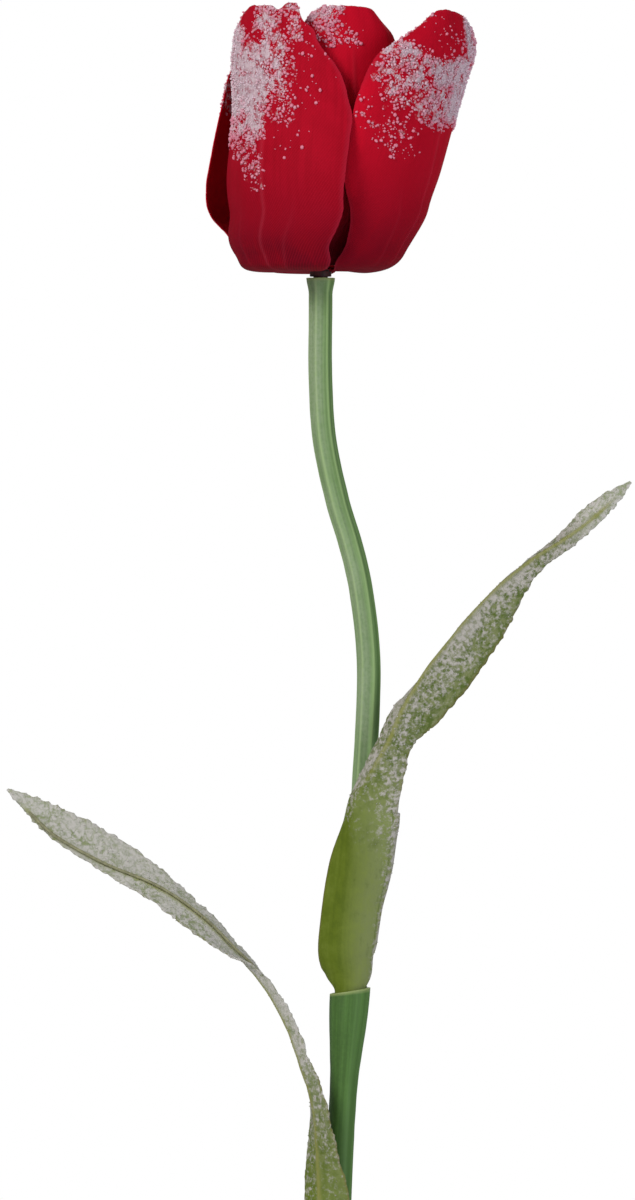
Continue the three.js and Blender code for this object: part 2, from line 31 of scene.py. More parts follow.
print("loading the packed frame")
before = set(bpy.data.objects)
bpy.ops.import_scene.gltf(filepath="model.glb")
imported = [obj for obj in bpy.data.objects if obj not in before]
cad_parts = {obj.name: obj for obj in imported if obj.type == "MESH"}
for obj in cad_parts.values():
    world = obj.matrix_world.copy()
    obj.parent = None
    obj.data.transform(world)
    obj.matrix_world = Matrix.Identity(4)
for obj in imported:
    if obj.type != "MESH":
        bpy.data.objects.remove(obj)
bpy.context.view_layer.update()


# Stage: camera, floor and light
stage = {
    "lens": 300,  # mm, a long lens as for tall product pictures
    "sensor": 36,
    "aim": (-4.1, 0, 347.8),
    "distance": 2223,
    "farthest": 50,  # m
    "floorRadius": 1050,
    "floorSides": 96,
    "floorColour": "#f2f2f2",
    "floorFade": (0.45, 0.98),  # shares of the radius
    "backdrop": "#ffffff",
    "ambient": 0.3,
    "ambientColour": "#f4f6fa",
    # each lamp: place, target and width in metres, watts and colour
    "lamps": {
        "key_softbox": ((-0.75, -0.95, 1.0), (0, 0, 0.36), 0.55, 12, "#fffaf4"),
        "right_fill": ((0.95, -0.9, 0.45), (0, 0, 0.33), 0.8, 5.5, "#f6f8ff"),
        "back_strip": ((0.2, 0.9, 0.9), (0, 0, 0.36), 0.5, 4, "#ffffff"),
    },
}


def linearColour(hexColour, alpha=1.0):
    # sRGB hex to the linear red, green, blue and alpha that a shader takes
    channels = [int(hexColour[i : i + 2], 16) / 255 for i in (1, 3, 5)]
    return tuple(c / 12.92 if c <= 0.04045 else ((c + 0.055) / 1.055) ** 2.4 for c in channels) + (alpha,)


# settings that go with some kinds of node: an S-shaped step, a colour mix and a product
eased = {"interpolation_type": "SMOOTHSTEP"}
blended = {"data_type": "RGBA", "output": 2}
times = {"operation": "MULTIPLY"}


def addNode(tree, kind, inputs=(), output=0, **settings):
    # one node with its settings, and its inputs by name or in order: a value, a hex colour
    # or another node's socket; gives the output asked for
    node = tree.nodes.new("ShaderNode" + kind)
    for name, value in settings.items():
        setattr(node, name, value)
    for name, value in inputs.items() if isinstance(inputs, dict) else enumerate(inputs):
        if isinstance(value, bpy.types.NodeSocket):
            tree.links.new(value, node.inputs[name])
        else:
            node.inputs[name].default_value = linearColour(value) if isinstance(value, str) else value
    return node.outputs[output] if len(node.outputs) else None


def newMaterial(name):
    # an empty material, and the function that adds nodes to it
    material = bpy.data.materials.new(name)
    material.use_nodes = True
    material.node_tree.nodes.clear()
    return material, functools.partial(addNode, material.node_tree)


def makeCamera():
    data = bpy.data.cameras.new("product_camera")
    data.lens = stage["lens"]
    data.sensor_width = stage["sensor"]
    data.clip_end = stage["farthest"]
    camera = bpy.data.objects.new("product_camera", data)
    aim = Vector(stage["aim"]) * metresPerMm
    camera.location = aim + Vector((0, -stage["distance"] * metresPerMm, 0))
    camera.rotation_euler = (aim - camera.location).to_track_quat("-Z", "Y").to_euler()
    bpy.context.scene.collection.objects.link(camera)
    bpy.context.scene.camera = camera


def makeLight(name, place, target, size, power, colour):
    data = bpy.data.lights.new(name, "AREA")
    data.shape = "DISK"
    data.size = size
    data.energy = power
    data.color = linearColour(colour)[:3]
    lamp = bpy.data.objects.new(name, data)
    lamp.location = place
    lamp.rotation_euler = (Vector(target) - Vector(place)).to_track_quat("-Z", "Y").to_euler()
    bpy.context.scene.collection.objects.link(lamp)


def makeStage():
    scene = bpy.context.scene
    scene.view_settings.view_transform = "Standard"
    scene.view_settings.look = "None"
    world = bpy.data.worlds.new("white_studio")
    world.use_nodes = True
    world.node_tree.nodes.clear()
    add = functools.partial(addNode, world.node_tree)
    # the eye sees a white backdrop, while the object is lit by a softer share of it
    seen = add("Background", {"Color": stage["backdrop"], "Strength": 1.0})
    lit = add("Background", {"Color": stage["ambientColour"], "Strength": stage["ambient"]})
    direct = add("LightPath", output="Is Camera Ray")
    add("OutputWorld", {"Surface": add("MixShader", (direct, lit, seen))})
    scene.world = world

    # a pale disc of floor that fades out before its rim
    radius = stage["floorRadius"] * metresPerMm
    angles = np.linspace(0, 2 * np.pi, stage["floorSides"], endpoint=False)
    ring = np.stack([radius * np.cos(angles), radius * np.sin(angles), 0 * angles], 1)
    mesh = bpy.data.meshes.new("floor")
    mesh.from_pydata(ring.tolist(), [], [list(range(len(ring)))])
    floor = bpy.data.objects.new("floor", mesh)
    scene.collection.objects.link(floor)
    material, add = newMaterial("pale_card_floor")
    away = add("VectorMath", {0: add("TexCoord", output="Object")}, "Value", operation="LENGTH")
    near, far = (share * radius for share in stage["floorFade"])
    fade = add("MapRange", (away, near, far), **eased)
    card = add("BsdfDiffuse", {"Color": stage["floorColour"]})
    add("OutputMaterial", {"Surface": add("MixShader", (fade, card, add("BsdfTransparent")))})
    mesh.materials.append(material)

    for name, lamp in stage["lamps"].items():
        makeLight(name, *lamp)


makeCamera()
makeStage()
print("stage ready")


# Shape tools
# large primes that scatter whole numbers, for the noise
hashPrimes = np.array([73856093, 19349663, 83492791], np.uint64)


def smooth(share):
    # 0 below 0, 1 above 1, and an even S between them
    t = np.clip(share, 0, 1)
    return t * t * (3 - 2 * t)


def cubic(start, end, slope1, slope2, f):
    # the cubic from one value to the next that has the given slopes at its two ends
    rise = end - start
    return start + f * (slope1 + f * (3 * rise - 2 * slope1 - slope2 + f * (slope1 + slope2 - 2 * rise)))


def tableAt(table, share):
    # values between evenly spaced rows of a table, cubic through every row
    rows = np.asarray(table, float)
    last = len(rows) - 1
    place = np.clip(np.asarray(share, float), 0, 1) * last
    i = np.minimum(place.astype(int), last - 1)
    p0, p1, p2, p3 = (rows[np.clip(i + k, 0, last)] for k in (-1, 0, 1, 2))
    return cubic(p1, p2, (p2 - p0) / 2, (p3 - p1) / 2, (place - i)[..., None])


def joined(*parts):
    # coordinates side by side in the last axis, each repeated to the common shape
    return np.stack(np.broadcast_arrays(*parts), -1)


def noise(points, size, seed):
    # smooth noise from -1 to 1 between fixed random values at the corners of cubes of one
    # size, each made from its corner's whole numbers by multiplying and mixing their bits
    place = np.asarray(points, float) / size + seed * 7.31
    cell = np.floor(place).astype(np.int64)
    f = smooth(place - cell)
    total = 0
    for corner in itertools.product((0, 1), repeat=3):
        x, y, z = np.moveaxis((cell + corner).astype(np.uint64) * hashPrimes, -1, 0)
        h = x ^ y ^ z
        h = (h ^ (h >> np.uint64(13))) * np.uint64(1274126177)
        h = (h ^ (h >> np.uint64(16))) & np.uint64(0xFFFFFF)
        total = total + np.prod(np.where(corner, f, 1 - f), axis=-1) * (h.astype(float) / 0xFFFFFF)
    return total * 2 - 1


def fray(points, coarse, fine, seed):
    # coarse teeth with finer threads on them
    return noise(points, coarse, seed) + 0.6 * noise(points, fine, seed + 1)


def unit(vectors):
    # the same directions with a length of 1
    return vectors / np.maximum(np.linalg.norm(vectors, axis=-1, keepdims=True), 1e-9)


def gridNormals(grid):
    # the direction square to the surface, from its slopes across and along
    along, across = np.gradient(grid, axis=(0, 1))
    return unit(np.cross(across, along))


def gridQuads(rows, columns, closedAcross=False, closedAlong=False):
    # the four corners of each cell of a grid, by number; a closed direction runs round
    i = np.arange(rows if closedAlong else rows - 1)[:, None]
    j = np.arange(columns if closedAcross else columns - 1)[None, :]
    i2, j2 = (i + 1) % rows, (j + 1) % columns
    corners = (i * columns + j, i * columns + j2, i2 * columns + j2, i2 * columns + j)
    return joined(*corners).reshape(-1, 4)


def makePiece(name, points, faces, uv=None, attributes=None):
    # a mesh object at the origin from points in millimetres and faces of equal size; the
    # point attributes are repeated to the shape of the grid of points
    points = np.asarray(points, float) * metresPerMm
    faces = np.asarray(faces, np.int32)
    mesh = bpy.data.meshes.new(name)
    mesh.vertices.add(points.size // 3)
    mesh.vertices.foreach_set("co", points.ravel())
    mesh.loops.add(faces.size)
    mesh.loops.foreach_set("vertex_index", faces.ravel())
    mesh.polygons.add(len(faces))
    mesh.polygons.foreach_set("loop_start", np.arange(0, faces.size, faces.shape[1], dtype=np.int32))
    mesh.update(calc_edges=True)
    mesh.polygons.foreach_set("use_smooth", np.ones(len(faces), bool))
    if uv is not None:
        layer = mesh.uv_layers.new(name="UVMap")
        layer.data.foreach_set("uv", np.asarray(uv, float).reshape(-1, 2)[faces.ravel()].ravel())
    for key, values in (attributes or {}).items():
        attribute = mesh.attributes.new(key, "FLOAT", "POINT")
        repeated = np.broadcast_to(values, points.shape[:-1]).astype(float)
        attribute.data.foreach_set("value", repeated.ravel())
    mesh.validate()
    piece = bpy.data.objects.new(name, mesh)
    bpy.context.scene.collection.objects.link(piece)
    return piece


def sheetPiece(name, grid, thickness, uv, attributes):
    # a closed cloth shell: the surface moved half its thickness each way, joined at the rim
    rows, columns = grid.shape[:2]
    offset = gridNormals(grid) * thickness[..., None] / 2
    count = rows * columns
    index = np.arange(count).reshape(rows, columns)
    border = np.concatenate([index[0, :-1], index[:-1, -1], index[-1, :0:-1], index[:0:-1, 0]])
    ahead = np.roll(border, -1)
    rim = np.stack([ahead, border, border + count, ahead + count], 1)
    front = gridQuads(rows, columns)
    faces = np.concatenate([front, front[:, ::-1] + count, rim])
    both = {**attributes, "outer": np.array([1, 0])[:, None, None]}
    return makePiece(name, np.stack([grid + offset, grid - offset]), faces, np.stack([uv, uv]), both)


def dress(piece, material, body, slot, *nodes):
    # the material, the body that carries the piece and the solids it stands for, which are hidden; its slot
    # is not used
    piece.data.materials.clear()
    piece.data.materials.append(material)
    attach(piece, body)
    if nodes:
        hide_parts(*nodes)


def nearStrokes(x, z, strokes):
    # how much frost a brush left: full along each stroke's line, fading over its width
    cover = np.zeros(np.shape(x))
    for (x1, z1, w1), (x2, z2, w2), amount in strokes:
        dx, dz = x2 - x1, z2 - z1
        t = np.clip(((x - x1) * dx + (z - z1) * dz) / (dx * dx + dz * dz), 0, 1)
        away = np.hypot(x - x1 - t * dx, z - z1 - t * dz) / (w1 + (w2 - w1) * t)
        cover = np.maximum(cover, amount * smooth(1.5 - away))
    return cover


# Materials
# A noise's scale is its number of grains in a metre, 1000 over their size in millimetres,
# where it reads Object coordinates, and in a millimetre where it reads the UVMap.


def weighted(add, *terms):
    # the sum of values, each times its weight
    total = 0.0
    for value, weight in terms:
        total = add("Math", (total, add("Math", (value, weight), **times)), operation="ADD")
    return total


def coated(add, colour, *coats):
    # coats of colour laid one over another: each has its cover, how much of it counts, and
    # its colour; a cover is a value, or a value and the two levels between which it grows
    for cover, share, coat in coats:
        if isinstance(cover, tuple):
            cover = add("MapRange", cover, **eased)
        colour = add("Mix", {0: add("Math", (cover, share), **times), 6: colour, 7: coat}, **blended)
    return colour


def streaksAlong(add, uv, scale, detail):
    # noise drawn out along one direction, for flow lines and threads
    mapped = add("Mapping", {"Vector": uv, "Scale": scale})
    return add("TexNoise", {"Vector": mapped, "Scale": 1.0, "Detail": detail})


def frostedOver(add, colour, shadow, light, clump, edge, share=1.0):
    # powder frost under the flakes: clumps of pale 0.45 mm grains, coarser than the real
    # powder so that they show, which close up as the frost attribute grows
    place = add("TexCoord", output="Object")
    frost = add("Attribute", output="Fac", attribute_name="frost")
    clumps = add("TexNoise", {"Vector": place, "Scale": 1000 / clump, "Detail": 3.0, "Roughness": 0.6})
    grains = add("TexNoise", {"Vector": place, "Scale": 2200.0, "Detail": 1.0})
    level = weighted(add, (clumps, 0.8), (grains, 0.2))
    closed = add("MapRange", (weighted(add, (level, 1.0), (frost, 0.34)), 0.7 - edge, 0.8), **eased)
    present = add("MapRange", (frost, 0.02, 0.16, 0.0, 0.94), **eased)
    mask = add("Math", (add("Math", (closed, present), **times), share), **times)
    # the powder's tone runs from a painted shadow where its clumps are low to painted light where they are
    # high, and grows lighter where the frost is thick
    powder = coated(add, shadow, ((frost, 0.6, 1.0), 0.45, light), ((level, 0.38, 0.6), 1.0, light))
    return coated(add, colour, (mask, 1.0, powder)), mask


def finishCloth(add, colour, height, bump, depth, roughness, gloss, glow, glowShare):
    # a dull, finely raised face, and a little light that comes through the thin cloth
    face = {
        "Base Color": colour,
        "Roughness": roughness,
        "IOR": 1.5,
        "Specular IOR Level": gloss,
        "Normal": add("Bump", {"Height": height, "Strength": bump, "Distance": depth}),
    }
    parts = (glowShare, add("BsdfPrincipled", face), add("BsdfTranslucent", {"Color": glow}))
    add("OutputMaterial", {"Surface": add("MixShader", parts)})


def petalMaterial():
    # polyester satin, dyed deep red and pressed over a warm mould: a dull face with fine
    # diagonal threads and faint pale veins, painted shade over the lower petal, on the inner
    # face and on the claws at the slit, a painted highlight along the turned rim, painted
    # light on petals that lie in shade, and a little red light that comes through the thin
    # cloth
    material, add = newMaterial("dyed_polyester_satin")
    uv = add("UVMap", uv_map="UVMap")
    along, outer, vein, rim, paintedLight, paintedShade = (
        add("Attribute", output="Fac", attribute_name=name)
        for name in ("along", "outer", "vein", "rim", "paintedLight", "paintedShade")
    )
    blotch = add("TexNoise", {"Vector": uv, "Scale": 0.16, "Detail": 3.0})  # 6 mm
    # threads every 0.5 mm, about twice the real spacing so that they show
    slanted = add("Mapping", {"Vector": uv, "Rotation": (0, 0, 0.6)})
    crossed = add("Mapping", {"Vector": uv, "Rotation": (0, 0, -0.95)})
    warpLook = {"Vector": slanted, "Scale": 0.62, "Distortion": 0.8, "Detail": 2.0, "Detail Scale": 1.5}
    weftLook = {"Vector": crossed, "Scale": 0.8, "Distortion": 0.5, "Detail": 2.0}
    warp, weft = (add("TexWave", look, "Fac") for look in (warpLook, weftLook))
    threads = weighted(add, (warp, 0.7), (weft, 0.3))
    streaks = streaksAlong(add, uv, (0.9, 0.035, 1), 2.0)  # 1.1 mm wide, 29 mm long
    inner = add("Math", (1.0, outer), operation="SUBTRACT")
    colour = coated(
        add,
        "#6c081c",
        # darker towards the claw: painted shade over the lower petal
        ((along, 0.28, 0.7), 1.0, "#bd0d27"),
        ((blotch, 0.35, 0.7), 0.35, "#9c061b"),
        ((streaks, 0.5, 0.62), 0.25, "#92061a"),
        ((threads, 0.5, 0.85), 0.3, "#c81c38"),
        (vein, 0.22, "#c4455a"),
        # a painted highlight along the turned rim
        (rim, 0.3, "#b8304a"),
        # painted shade on the inner face
        (inner, 0.2, "#80041a"),
        # painted light that brightens petals lying in shade
        (paintedLight, 1.0, "#e4102e"),
        # painted shade on the lower part of the petals at the slit
        (paintedShade, 1.0, "#3c0510"),
    )
    frosted, mask = frostedOver(add, colour, "#98566b", "#dfd0da", clump=1.5, edge=0.1)
    height = weighted(add, (threads, 0.5), (streaks, 0.4), (mask, 1.6))
    satin = {"bump": 0.35, "depth": 0.00012, "roughness": 0.7, "gloss": 0.04}
    finishCloth(add, frosted, height, **satin, glow="#d8081f", glowShare=0.2)
    return material


def leafMaterial():
    # latex-coated cotton, printed green and pressed with lengthwise veins: a dull satin
    # face, greener on its left side, brownish cut margins, and frost caught in its crinkles
    material, add = newMaterial("coated_leaf_cloth")
    uv = add("UVMap", uv_map="UVMap")
    place = add("TexCoord", output="Object")
    crinkled, pale, bleached, hem, seam, margin, rib = (
        add("Attribute", output="Fac", attribute_name=name)
        for name in ("crinkled", "pale", "bleached", "hem", "seam", "margin", "rib")
    )
    # veins 0.8 mm wide and 50 mm long, clouds of 4 mm, mottling and crinkles of 1.5 mm
    streak = streaksAlong(add, uv, (1.2, 0.02, 1), 3.0)
    cloud = add("TexNoise", {"Vector": place, "Scale": 260.0, "Detail": 4.0})
    mottle = add("TexNoise", {"Vector": place, "Scale": 700.0, "Detail": 4.0, "Roughness": 0.65})
    crinkle = add("TexVoronoi", {"Vector": place, "Scale": 620.0}, "Distance", feature="F1")
    tone = weighted(add, (streak, 0.25), (cloud, 0.45), (mottle, 0.3))
    rough = coated(add, "#5a6c31", ((mottle, 0.4, 0.6), 1.0, "#7e8759"), (bleached, 0.75, "#99a37d"))
    colour = coated(
        add,
        "#61731f",
        (pale, 1.0, "#88945f"),
        ((tone, 0.45, 0.62), 0.3, "#84953f"),
        ((tone, 0.48, 0.36), 0.35, "#475a14"),
        (crinkled, 1.0, rough),
        (hem, 0.5, "#959c72"),
        (seam, 0.5, "#4b5b22"),
        (margin, 0.6, "#7b7040"),
        (rib, 0.85, "#8f9150"),
    )
    # the creases that wander between crinkles hold little frost, and the rib hardly any
    wander = add("TexNoise", {"Vector": place, "Scale": 330.0, "Detail": 2.5})
    crease = add("Math", {0: add("Math", (wander, 0.5), operation="SUBTRACT")}, operation="ABSOLUTE")
    held = add("MapRange", (crease, 0.004, 0.035, 0.62, 1.0), **eased)
    clean = add("Math", (held, add("Math", (rib, -0.85, 1.0), operation="MULTIPLY_ADD")), **times)
    # the powder's painted shadow and painted light, both paler where the leaf is bleached
    thin = coated(add, "#7c8069", (bleached, 1.0, "#a5a99c"))
    thick = coated(add, "#bdb9b4", (bleached, 1.0, "#c9c7c3"))
    frosted, mask = frostedOver(add, colour, thin, thick, clump=1.0, edge=0.18, share=clean)
    raised = add("Math", (crinkle, crinkled), **times)
    height = weighted(add, (streak, 0.3), (mottle, 0.5), (raised, 0.8), (mask, 0.8))
    coating = {"bump": 0.5, "depth": 0.00018, "roughness": 0.6, "gloss": 0.12}
    finishCloth(add, frosted, height, **coating, glow="#7f9440", glowShare=0.1)
    return material


def stemMaterial(name, dark, light, tint, tintAmount):
    # polyethylene moulded over the wire: waxy, with lengthwise flow lines, pale ribs, a
    # painted highlight on the lip at the mouth, and one side tinted: paler on the upper tube
    # and darker on the lower tubes as painted shade
    material, add = newMaterial(name)
    place = add("TexCoord", output="Object")
    ridge, tintedLeftSide, lip = (
        add("Attribute", output="Fac", attribute_name=name) for name in ("ridge", "tintedLeftSide", "lip")
    )
    lines = streaksAlong(add, add("UVMap", uv_map="UVMap"), (1.3, 0.02, 1), 4.0)
    # the tinted side: paler on the upper tube and painted shade on the lower ones, broken up by clouds and
    # specks
    powder = tintedLeftSide
    # clouds of 11 mm and specks of 0.7 mm: scale, detail, the levels between which each
    # grows, and its least
    textures = ((90.0, 3.0, 0.3, 0.65, 0.55), (1500.0, 2.0, 0.35, 0.6, 0.7))
    for scale, detail, low, high, least in textures:
        texture = add("TexNoise", {"Vector": place, "Scale": scale, "Detail": detail})
        powder = add("Math", (powder, add("MapRange", (texture, low, high, least, 1.0), **eased)), **times)
    colour = coated(
        add,
        dark,
        ((lines, 0.36, 0.64), 1.0, light),
        (ridge, 0.6, "#9fbf7c"),
        # the side tint: painted shade on the lower tubes, paler on the upper one
        (powder, tintAmount, tint),
        # a painted highlight along the lip of the mouth
        (lip, 0.7, "#a3b072"),
    )
    face = {
        "Base Color": colour,
        "Roughness": 0.52,
        "IOR": 1.51,
        "Specular IOR Level": 0.3,
        "Subsurface Weight": 0.08,
        "Subsurface Radius": (0.8, 1.0, 0.4),
        "Subsurface Scale": 0.0008,
        "Normal": add("Bump", {"Height": lines, "Strength": 0.35, "Distance": 0.00015}),
    }
    add("OutputMaterial", {"Surface": add("BsdfPrincipled", face)})
    return material


def frostMaterial(name, single, massed):
    # polystyrene snow flakes set in glue: a little see-through, so that single ones take
    # the colour of the cloth below and massed ones look off-white
    material, add = newMaterial(name)
    frost = add("Attribute", output="Fac", attribute_name="frost")
    change = add("TexNoise", {"Vector": add("TexCoord", output="Object"), "Scale": 600.0, "Detail": 2.0})
    massing = weighted(add, (frost, 1.0), (change, 1.2))
    face = {
        "Base Color": coated(add, single, ((massing, 0.6, 1.7), 1.0, massed)),
        "Roughness": 0.45,
        "IOR": 1.59,
        "Specular IOR Level": 0.2,
        "Subsurface Weight": 0.3,
        "Subsurface Radius": (1.0, 0.6, 0.7),
        "Subsurface Scale": 0.0006,
    }
    add("OutputMaterial", {"Surface": add("BsdfPrincipled", face)})
    return material


def plainMoulding(name, dark, light, scale, roughness):
    # a small polyethylene moulding: dull satin with a slightly uneven surface
    material, add = newMaterial(name)
    uneven = add("TexNoise", {"Vector": add("TexCoord", output="Object"), "Scale": scale, "Detail": 4.0})
    face = {
        "Base Color": coated(add, dark, ((uneven, 0.35, 0.65), 1.0, light)),
        "Roughness": roughness,
        "IOR": 1.51,
        "Normal": add("Bump", {"Height": uneven, "Strength": 0.4, "Distance": 0.0001}),
    }
    add("OutputMaterial", {"Surface": add("BsdfPrincipled", face)})
    return material


def wireMaterial():
    # drawn steel wire: fine lines along its length and a little dull oxide
    material, add = newMaterial("drawn_steel_wire")
    stretched = add("Mapping", {"Vector": add("TexCoord", output="Object"), "Scale": (1, 1, 0.02)})
    drawn = add("TexNoise", {"Vector": stretched, "Scale": 2500.0, "Detail": 3.0})
    face = {
        "Base Color": coated(add, "#77787a", (drawn, 1.0, "#a8a9aa")),
        "Metallic": 1.0,
        "Roughness": add("MapRange", (drawn, 0.3, 0.7, 0.3, 0.5), **eased),
    }
    add("OutputMaterial", {"Surface": add("BsdfPrincipled", face)})
    return material


petalSatin = petalMaterial()
leafCloth = leafMaterial()
upperStemPlastic = stemMaterial("ribbed_polyethylene", "#56783f", "#729657", "#9fae92", 0.6)
# its dark tint is painted shade on the left side of the lower tubes
lowerStemPlastic = stemMaterial("dark_polyethylene", "#496e31", "#57803c", "#2f4b20", 0.5)
frostFlakes = frostMaterial("polystyrene_snow", "#d98299", "#e0c8d4")
leafFrost = frostMaterial("polystyrene_snow_on_leaf", "#969a84", "#b6b4ae")
# the receptacle is coloured dark red-brown as painted shade between the petals and the flare
receptacleShadeMoulding = plainMoulding("receptacle_shade_moulding", "#33090d", "#4e1015", 900.0, 0.6)
collarPlastic = plainMoulding("collar_moulding", "#3e6438", "#557f4c", 700.0, 0.5)
pistilPlastic = plainMoulding("pistil_moulding", "#8f9448", "#b9b667", 500.0, 0.6)
antherFlock = plainMoulding("stamen_moulding", "#1c1518", "#3a2a26", 1800.0, 0.85)
coveredWire = plainMoulding("covered_leaf_wire", "#77775a", "#90906e", 900.0, 0.6)
steelWire = wireMaterial()
print("materials ready")


# The stem
stem = {
    "height": 419.4,
    "sway": 7.2,
    # height and sideways place, as shares of the height and the sway
    "lineShares": [
        (0, 0), (0.25, 0), (0.42, 0), (0.48, 0.01), (0.53, 0.1), (0.57, 0.232), (0.6, 0.35), (0.63, 0.468),
        (0.68, 0.66), (0.73, 0.852), (0.77, 0.985), (0.8, 1), (0.838, 0.74), (0.86, 0.43), (0.881, 0.06),
        (0.914, -0.35), (0.945, -0.475), (0.985, -0.475), (1, -0.475),
    ],
    "wall": 0.5,
    "rimWall": 0.3,
    "bore": 1.1,
    "gap": 0.3,
    "leafRoom": 1.45,  # from a tube's side to the mouth of the flare round it
    "seatDepth": 2.6,
    "seatSlope": 0.4,  # height of the sloped step above the seat
    "spigotDepth": 7,
    "collarWall": 0.75,
    "plugRadius": 1.9,  # the hole for the receptacle's plug
    "plugDepth": 8.3,
    "lip": 0.1,  # rounding of a mouth's edge
    "slantLength": 5,  # how far down a slanted mouth leans
    "ribs": 6,
    "ribSharpness": 1.7,
    "ribDrift": 0.12,  # radians that the ribs wander, and over what height
    "driftLength": 37,
    "ribEnd": 3,  # the ribs die out below a mouth
    "lumps": (0.03, 3.0),  # height and size of lumps in the moulding
    "lipHighlight": (0.3, 0.9),  # below the mouth, the painted highlight on the lip is full and gone
    "sides": 96,
}


def stemTable():
    # the CAD's stem line: a centripetal Catmull-Rom curve, as heights and sideways places
    share = np.array(stem["lineShares"], float)
    knots = np.stack([share[:, 1] * stem["sway"], share[:, 0] * stem["height"]], 1)
    padded = np.vstack([2 * knots[0] - knots[1], knots, 2 * knots[-1] - knots[-2]])
    p0, p1, p2, p3 = (padded[k : k + len(knots) - 1][:, None, :] for k in range(4))
    pairs = ((p0, p1), (p1, p2), (p2, p3))
    a, b, c = (np.sqrt(np.linalg.norm(q - p, axis=-1, keepdims=True)) for p, q in pairs)
    slope1 = ((p1 - p0) / a - (p2 - p0) / (a + b) + (p2 - p1) / b) * b
    slope2 = ((p2 - p1) / b - (p3 - p1) / (b + c) + (p3 - p2) / c) * b
    f = np.linspace(0, 1, 200, endpoint=False)[None, :, None]
    line = np.vstack([cubic(p1, p2, slope1, slope2, f).reshape(-1, 2), knots[-1]])
    return line[:, 1], line[:, 0]


stemHeights, stemOffsets = stemTable()


def stemAt(height):
    # centre, direction and rightward direction of the stem at each height
    height = np.asarray(height, float)
    step = 0.5
    x, below, above = (np.interp(height + h, stemHeights, stemOffsets) for h in (0, -step, step))
    zero = np.zeros_like(x)
    direction = unit(np.stack([(above - below) / (2 * step), zero, zero + 1], -1))
    right = np.stack([direction[..., 2], zero, -direction[..., 0]], -1)
    return np.stack([x, zero, height], -1), direction, right


def stemSurface(heights, radii, slants):
    # rings square to the stem line; a slant lifts a ring on its right and drops it on its left
    angle = np.linspace(0, 2 * np.pi, radii.shape[1], endpoint=False)[None, :, None]
    centre, direction, right = (v[:, None, :] for v in stemAt(heights))
    radii, depth = radii[..., None], np.array([0.0, 1.0, 0.0])
    lean = right * radii + direction * slants[..., None]
    return centre + lean * np.cos(angle) + depth * radii * np.sin(angle)


tubes = {
    "lower_stem_moulding": {
        "node": "lower_stem_tube", "slot": "dark_green_plastic", "bottom": 0, "top": 190,
        "radius": 3.4, "next": 3.0, "flareLength": 24, "ribHeight": 0.02, "slant": -0.45, "spacing": 1.5,
    },
    "middle_stem_moulding": {
        "node": "middle_stem_tube", "slot": "dark_green_plastic", "bottom": 180.4, "top": 261,
        "radius": 3.0, "next": 2.5, "flareLength": 24, "ribHeight": 0.02, "slant": 1.0, "spacing": 0.8,
    },
    "upper_stem_moulding": {
        "node": "upper_stem_tube", "slot": "grey_green_plastic", "bottom": 251.4, "top": 419.4,
        "radius": 2.5, "flare": 3.2, "flareLength": 3.6, "ribHeight": 0.15, "slant": 0, "spacing": 0.7,
    },
}


def tubeProfile(tube):
    # heights and radii up the outside, round the lip and down the stepped bore, with the
    # number of rows that are outside
    bottom, top, radius, spacing = (tube[key] for key in ("bottom", "top", "radius", "spacing"))
    gap, bore, lip = stem["gap"], stem["bore"], stem["lip"]
    if "next" in tube:
        flare = tube["next"] + stem["leafRoom"] + stem["wall"]
        mouth, socket = flare - stem["rimWall"], tube["next"] + gap
        seat, collar = top - stem["seatDepth"], socket + stem["collarWall"]
        floor = seat - stem["spigotDepth"] - gap
        inside = [(seat + stem["seatSlope"], (mouth + collar) / 2), (seat, collar), (seat, socket)]
    else:
        flare, mouth, socket = tube["flare"], stem["plugRadius"], stem["plugRadius"]
        floor = top - stem["plugDepth"]
        inside = []
    inside += [(floor, socket), (floor, bore), (bottom, bore)]
    outside = np.linspace(bottom, top - lip, int((top - bottom) / spacing))
    flared = radius + (flare - radius) * smooth(1 - (top - outside) / tube["flareLength"])
    rows = [*zip(outside, flared), (top - lip * 0.3, flare - lip * 0.3), (top, flare - lip)]
    rows += [(top, mouth + lip), (top - lip, mouth)]
    for height, inner in inside:
        last = rows[-1][0]
        between = np.linspace(last, height, int((last - height) / (2 * spacing)))[1:-1]
        rows += [(h, inner) for h in [*between, height]]
    return *np.array(rows, float).T, len(outside)


